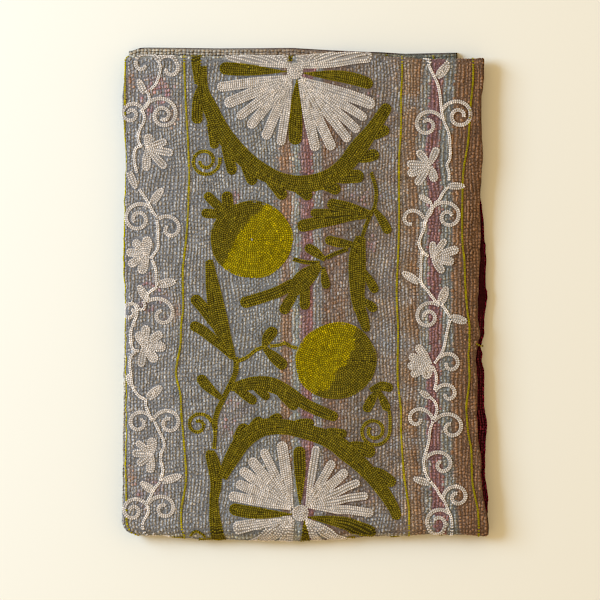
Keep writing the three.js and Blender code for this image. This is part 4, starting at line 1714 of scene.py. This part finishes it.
@dataclass
class RunningStitchWork:
    """The quilting: close rows of running stitches that gather the cloth into ridges."""

    face: QuiltFace
    dyes: Dyes
    work: ChainStitchWork
    spacing: Rows = ((-60, 4.3), (100, 4.3), (130, 4.6), (200, 5.1), (206, 4.2))
    pitch: Rows = ((-60, 4.7), (90, 4.6), (120, 3.9), (200, 3.9), (206, 4.2))
    reach: float = 1.9
    usual_spacing: float = 4.6
    # How far stitches stray along and across their rows, and how uneven their forms are.
    jitter: float = 0.35
    slip_by: float = 1.6
    turn_spread: float = 0.22
    form_spread: tuple[float, float, float] = (0.2, 0.16, 0.12)
    height: float = 0.15
    # Stitches take the cloth's dye made lighter by this: painted light on their raised ridges.
    painted_light_factor: tuple[float, float, float] = (1.56, 1.53, 1.46)
    hem_places: tuple[float, ...] = (3.0, 6.9, 11.2, 15.4)
    back_insets: tuple[float, ...] = (1.7, 5.4, 9.2, 13.0)
    # The map of covered cloth has a flag a millimetre, and its own origin at its corner.
    map_size: tuple[int, int] = (700, 800)
    map_origin: tuple[int, int] = (350, 400)
    sway: np.ndarray = field(default_factory=lambda: drift(17, 14, 40, 190))
    tone: np.ndarray = field(default_factory=lambda: drift(18, 24, 8, 50))
    slip: np.ndarray = field(default_factory=lambda: drift(19, 12, 30, 120))

    def covered(self) -> np.ndarray:
        """Map the cloth that the embroidery covers.

        Returns:
            A grid of flags, one a millimetre.
        """
        grid = np.zeros(self.map_size, dtype=bool)
        spots = np.concatenate([
            np.array([place for spots in self.work.taken.values() for place in spots]), *self.work.hidden,
        ])
        across, along = (spots + self.map_origin).T
        for i in range(-2, 3):
            for j in range(-2, 3):
                x, y = self.on_map(spots, (i, j))
                near = (x - across) ** 2 + (y - along) ** 2 < self.reach**2
                grid[x[near], y[near]] = True
        return grid

    def on_map(self, flat: np.ndarray, step: tuple[int, int] = (0, 0)) -> np.ndarray:
        """Give the map's flag for each flat place, or one some steps from it."""
        place = np.round(flat + self.map_origin) + step
        return np.clip(place, 0, np.array(self.map_size) - 1).astype(int).T

    def swayed(self, flat: np.ndarray) -> np.ndarray:
        """Give how far the rows stray sideways, in waves that are the higher the longer they are.

        Args:
            flat: Flat places.

        Returns:
            Distances, in millimetres.
        """
        phase = flat @ self.sway[:, :2].T + self.sway[:, 2]
        height = 0.04 / np.linalg.norm(self.sway[:, :2], axis=1)
        return (height * np.sin(phase)).sum(axis=1)

    def rows(self) -> list[float]:
        """List the rows across the top leaf and the left fold.

        Returns:
            Their flat places.
        """
        stack = self.face.stack
        places, at = [], stack.left - 12.0
        while at < stack.open_edge + 10:
            places.append(at)
            at += self.read(self.spacing, at)
        return places

    def read(self, table: Rows, at: float) -> float:
        """Read a table of places across and sizes."""
        return float(np.interp(at, [row[0] for row in table], [row[1] for row in table]))

    def thread_dye(self, flat: np.ndarray, rng: np.random.Generator) -> np.ndarray:
        """Give each stitch its dye: the cloth's, lighter as painted light on the raised stitch, and uneven as
        the thread is.

        Args:
            flat: The stitches' flat places.
            rng: The seeded source of the unevenness.

        Returns:
            Linear colours.
        """
        dye = self.dyes.at(self.face, flat, rng.random((len(flat), 2)))
        tone = np.exp(rng.normal(0, 0.13, len(flat)) + 0.05 * field_at(self.tone, flat))
        warm = np.exp(rng.normal(0, 1, len(flat))[:, None] * np.array([0.03, 0.0, -0.045]))
        return dye * self.painted_light_factor * tone[:, None] * warm

    def hem_rows(self, batch: Stitches, rng: np.random.Generator) -> None:
        """Sew the rows that run across, along the under panel's hem.

        Args:
            batch: The batch that they join.
            rng: The seeded source of the unevenness.
        """
        stack = self.face.stack
        first = stack.stops[0]
        for row in self.hem_places:
            x = np.arange(stack.left + 6, stack.under_open(np.zeros(1))[0] - 3, 5.0)
            x = x + rng.normal(0, 0.4, len(x))
            along = first + row + rng.normal(0, 0.25, len(x))
            centre = stack.centre(stack.station(along))
            flat = np.stack([stack.other_leaf(x, centre), along], axis=1)
            heading = np.tile([1.0, 0.0], (len(flat), 1))
            size = rng.normal(1, 0.12, (len(flat), 3)).clip(0.7, 1.4)
            batch.add(self.face, flat, heading, self.height, size, self.thread_dye(flat, rng))

    def row_places(
        self, row: float, start: float, covered: np.ndarray, rng: np.random.Generator
    ) -> np.ndarray:
        """Lay out one row's stitches, without those that the embroidery covers.

        Args:
            row: The row's flat place across.
            start: Where its first stitch lies, as a share of their pitch.
            covered: The map of covered cloth.
            rng: The seeded source of the unevenness.

        Returns:
            Flat places, which may be none.
        """
        stack = self.face.stack
        hem, under, _, _, tucked, end = stack.stops
        on_bend = row < stack.left + stack.half + 2
        low, high = (hem + 3, end) if on_bend else (under + 2, tucked - 2)
        pitch = self.read(self.pitch, row)
        at = np.arange(low + start * pitch, high, pitch)
        at = at + rng.normal(0, self.jitter, len(at))
        at += self.slip_by * field_at(self.slip, np.stack([np.full(len(at), row), at], axis=1))
        flat = np.stack([np.full(len(at), row), at], axis=1)
        flat[:, 0] += self.swayed(flat) * ease(np.array([(row - stack.left) / 24]))
        flat[:, 0] += rng.normal(0, self.jitter, len(at))
        s = stack.station(flat[:, 1])
        upper, _ = stack.edges(s)
        inside = flat[:, 0] < upper - 1.6
        inside &= flat[:, 0] > stack.centre(s) - np.pi * stack.half - 1
        x, y = self.on_map(flat)
        mapped = np.abs(flat[:, 1]) < self.map_origin[1] - 5
        return flat[inside & ~(covered[x, y] & mapped)]

    def build(self) -> list[bpy.types.Object]:
        """Sew all the rows.

        Returns:
            The face's stitches in two halves, and those of the back.
        """
        covered = self.covered()
        rng = np.random.default_rng(29)
        thread = QUILTING_COTTON.material()
        batches = (Stitches(), Stitches())
        phase = 0.0
        for row in self.rows():
            phase += rng.normal(0.1, 0.2)
            flat = self.row_places(row, phase % 1, covered, rng)
            if not len(flat):
                continue
            stray = rng.normal(0, self.turn_spread, len(flat))
            ahead = unit(np.stack([stray, np.ones(len(flat))], axis=1))
            dye = self.thread_dye(flat, rng)
            long = self.read(self.pitch, row) / RUNNING.length
            wide = self.read(self.spacing, row) / self.usual_spacing
            size = np.stack([
                rng.normal(mean, spread, len(flat))
                for mean, spread in zip((long, wide, 1), self.form_spread)
            ], axis=1)
            side = 0 if row < 0 else 1
            batches[side].add(self.face, flat, ahead, self.height, np.clip(size, 0.45, 1.6), dye)
        self.hem_rows(batches[1], rng)
        names = ("running_stitches_left", "running_stitches_right")
        made = [RUNNING.lay(name, batch, thread) for name, batch in zip(names, batches)]
        return [*made, self.back_rows(rng)]

    def back_rows(self, rng: np.random.Generator) -> bpy.types.Object:
        """Sew the rows that show on the back cloth, along the lower leaf's open edge.

        Args:
            rng: The seeded source of the unevenness.

        Returns:
            The stitches, in the back cloth's colour.
        """
        stack, batch, back = self.face.stack, Stitches(), QuiltBack()
        for inset in self.back_insets:
            along = np.arange(stack.near - 6, stack.far, 3.4)
            along = along + rng.normal(0, 0.35, len(along))
            s = stack.station(along)
            _, lower = stack.edges(s)
            reach = lower - inset + rng.normal(0, 0.3, len(along))
            flat = np.stack([stack.other_leaf(reach, stack.centre(s)), along], axis=1)
            heading = unit(
                np.stack([rng.normal(0.35, 0.2, len(along)), np.ones(len(along))], axis=1)
            )
            size = rng.normal((0.62, 0.66, 1.1), 0.12, (len(along), 3)).clip(0.4, 1.4)
            tone = np.exp(rng.normal(0, 0.3, len(along)))[:, None]
            batch.add(back, flat, heading, 0.1, size, np.array(linear(BACK_THREAD)[:3]) * tone)
        return RUNNING.lay("running_stitches_back", batch, BACK_COTTON.material())


@dataclass(frozen=True)
class Studio:
    """The plain studio: a pale floor, soft light from the upper left and a camera straight above."""

    field_mm: float = 780.0
    middle_mm: tuple[float, float] = (-7.15, -8.45)
    top_mm: float = 27.0
    distance_m: float = 7.0
    sensor_mm: float = 36.0
    floor_m: float = 8.0
    floor_colour: str = "#f6efdf"
    sky_colour: str = "#ffe6b6"
    sky_strength: float = 0.71
    window_m: tuple[float, float, float] = (-2.9, 0.95, 2.0)
    window_size_m: float = 1.9
    window_watts: float = 166.0
    window_colour: str = "#badbff"
    sharpening: float = 0.025

    def build(self) -> None:
        """Set out the floor, the light and the camera."""
        scene = bpy.context.scene
        scene.view_settings.view_transform = "Standard"
        self.floor()
        self.light(scene)
        self.camera(scene)
        self.develop(scene)

    def light(self, scene: bpy.types.Scene) -> None:
        """Light the quilt by a warm sky and one low, cool window at the upper left.

        Args:
            scene: The scene.
        """
        world = bpy.data.worlds.new("studio")
        scene.world = world
        world.use_nodes = True
        world.node_tree.nodes.clear()
        sky = add_node(world.node_tree, "ShaderNodeBackground", {
            "Color": linear(self.sky_colour), "Strength": self.sky_strength,
        })
        add_node(world.node_tree, "ShaderNodeOutputWorld", {"Surface": sky.outputs["Background"]})
        lamp = bpy.data.lights.new("window", "AREA")
        lamp.energy = self.window_watts
        lamp.size = self.window_size_m
        lamp.color = linear(self.window_colour)[:3]
        window = bpy.data.objects.new("window", lamp)
        scene.collection.objects.link(window)
        window.location = self.window_m
        window.rotation_euler = (-Vector(self.window_m)).to_track_quat("-Z", "Y").to_euler()

    def camera(self, scene: bpy.types.Scene) -> None:
        """Hang the camera straight above, with a long lens.

        Args:
            scene: The scene.
        """
        x, y = (m * MM for m in self.middle_mm)
        lens = bpy.data.cameras.new("camera")
        lens.sensor_width = self.sensor_mm
        lens.lens = self.sensor_mm * self.distance_m / (self.field_mm * MM)
        lens.clip_end = 50
        camera = bpy.data.objects.new("camera", lens)
        scene.collection.objects.link(camera)
        camera.location = (x, y, self.top_mm * MM + self.distance_m)
        scene.camera = camera

    def develop(self, scene: bpy.types.Scene) -> None:
        """Sharpen the picture a little, as the photograph is.

        Args:
            scene: The scene.
        """
        scene.use_nodes = True
        tree = scene.node_tree
        tree.nodes.clear()
        taken = add_node(tree, "CompositorNodeRLayers")
        crisp = add_node(tree, "CompositorNodeFilter", {
            "Fac": self.sharpening, "Image": taken.outputs["Image"],
        }, filter_type="SHARPEN")
        add_node(tree, "CompositorNodeComposite", {"Image": crisp.outputs["Image"]})

    def floor(self) -> None:
        """Lay the pale floor."""
        half = self.floor_m / 2 / MM
        corners = np.array([[-half, -half, 0], [half, -half, 0], [half, half, 0], [-half, half, 0]])
        made = mesh_object("floor", corners, [[0, 1, 2, 3]])
        # Pale matt plaster: even and without gloss.
        plaster = bpy.data.materials.new("pale_matt_plaster")
        plaster.use_nodes = True
        shader = plaster.node_tree.nodes["Principled BSDF"]
        shader.inputs["Base Color"].default_value = linear(self.floor_colour)
        shader.inputs["Roughness"].default_value = 0.9
        made.data.materials.append(plaster)


@dataclass(frozen=True)
class KanthaQuilt:
    """The whole folded quilt."""

    face: QuiltFace = QuiltFace()
    flat_size: tuple[float, float] = (0.94, 1.87)

    def build(self) -> None:
        """Build, dress and attach every piece."""
        stack = self.face.stack
        dyes = Dyes()
        inner_face = stack.half - stack.face
        face_cloth = ClothSheet(
            "face_cloth_folded", self.face, stack.half, inner_face, 0.0, 2.9, 2.9, FACE_COTTON, True
        ).build(dyes)
        back_out = inner_face - stack.between_cloths
        back_cloth = ClothSheet(
            "back_cloth_folded", self.face, back_out, back_out - stack.back, 0.3, 6.0, 3.2,
            BACK_COTTON, False,
        ).build(BACK_DYE)
        work = ChainStitchWork(self.face)
        threads = work.build()
        threads += RunningStitchWork(self.face, dyes, work).build()
        for piece, node, slot in (
            (face_cloth, "face_cloth", "face_cotton"), (back_cloth, "back_cloth", "back_cotton"),
        ):
            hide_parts(node)
            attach(piece, "root")
        for piece in threads:
            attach(piece, "root")
        for piece in (face_cloth, back_cloth, *threads):
            piece.data.calc_loop_triangles()
            LOG.info("%s: %d triangles", piece.name, len(piece.data.loop_triangles))


def main() -> None:
    """Build the quilt and its studio.
    """
    logging.basicConfig(level=logging.INFO, stream=sys.stdout, format="%(name)s %(message)s")
    KanthaQuilt().build()
    Studio().build()


if __name__ == "__main__":
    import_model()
    main()
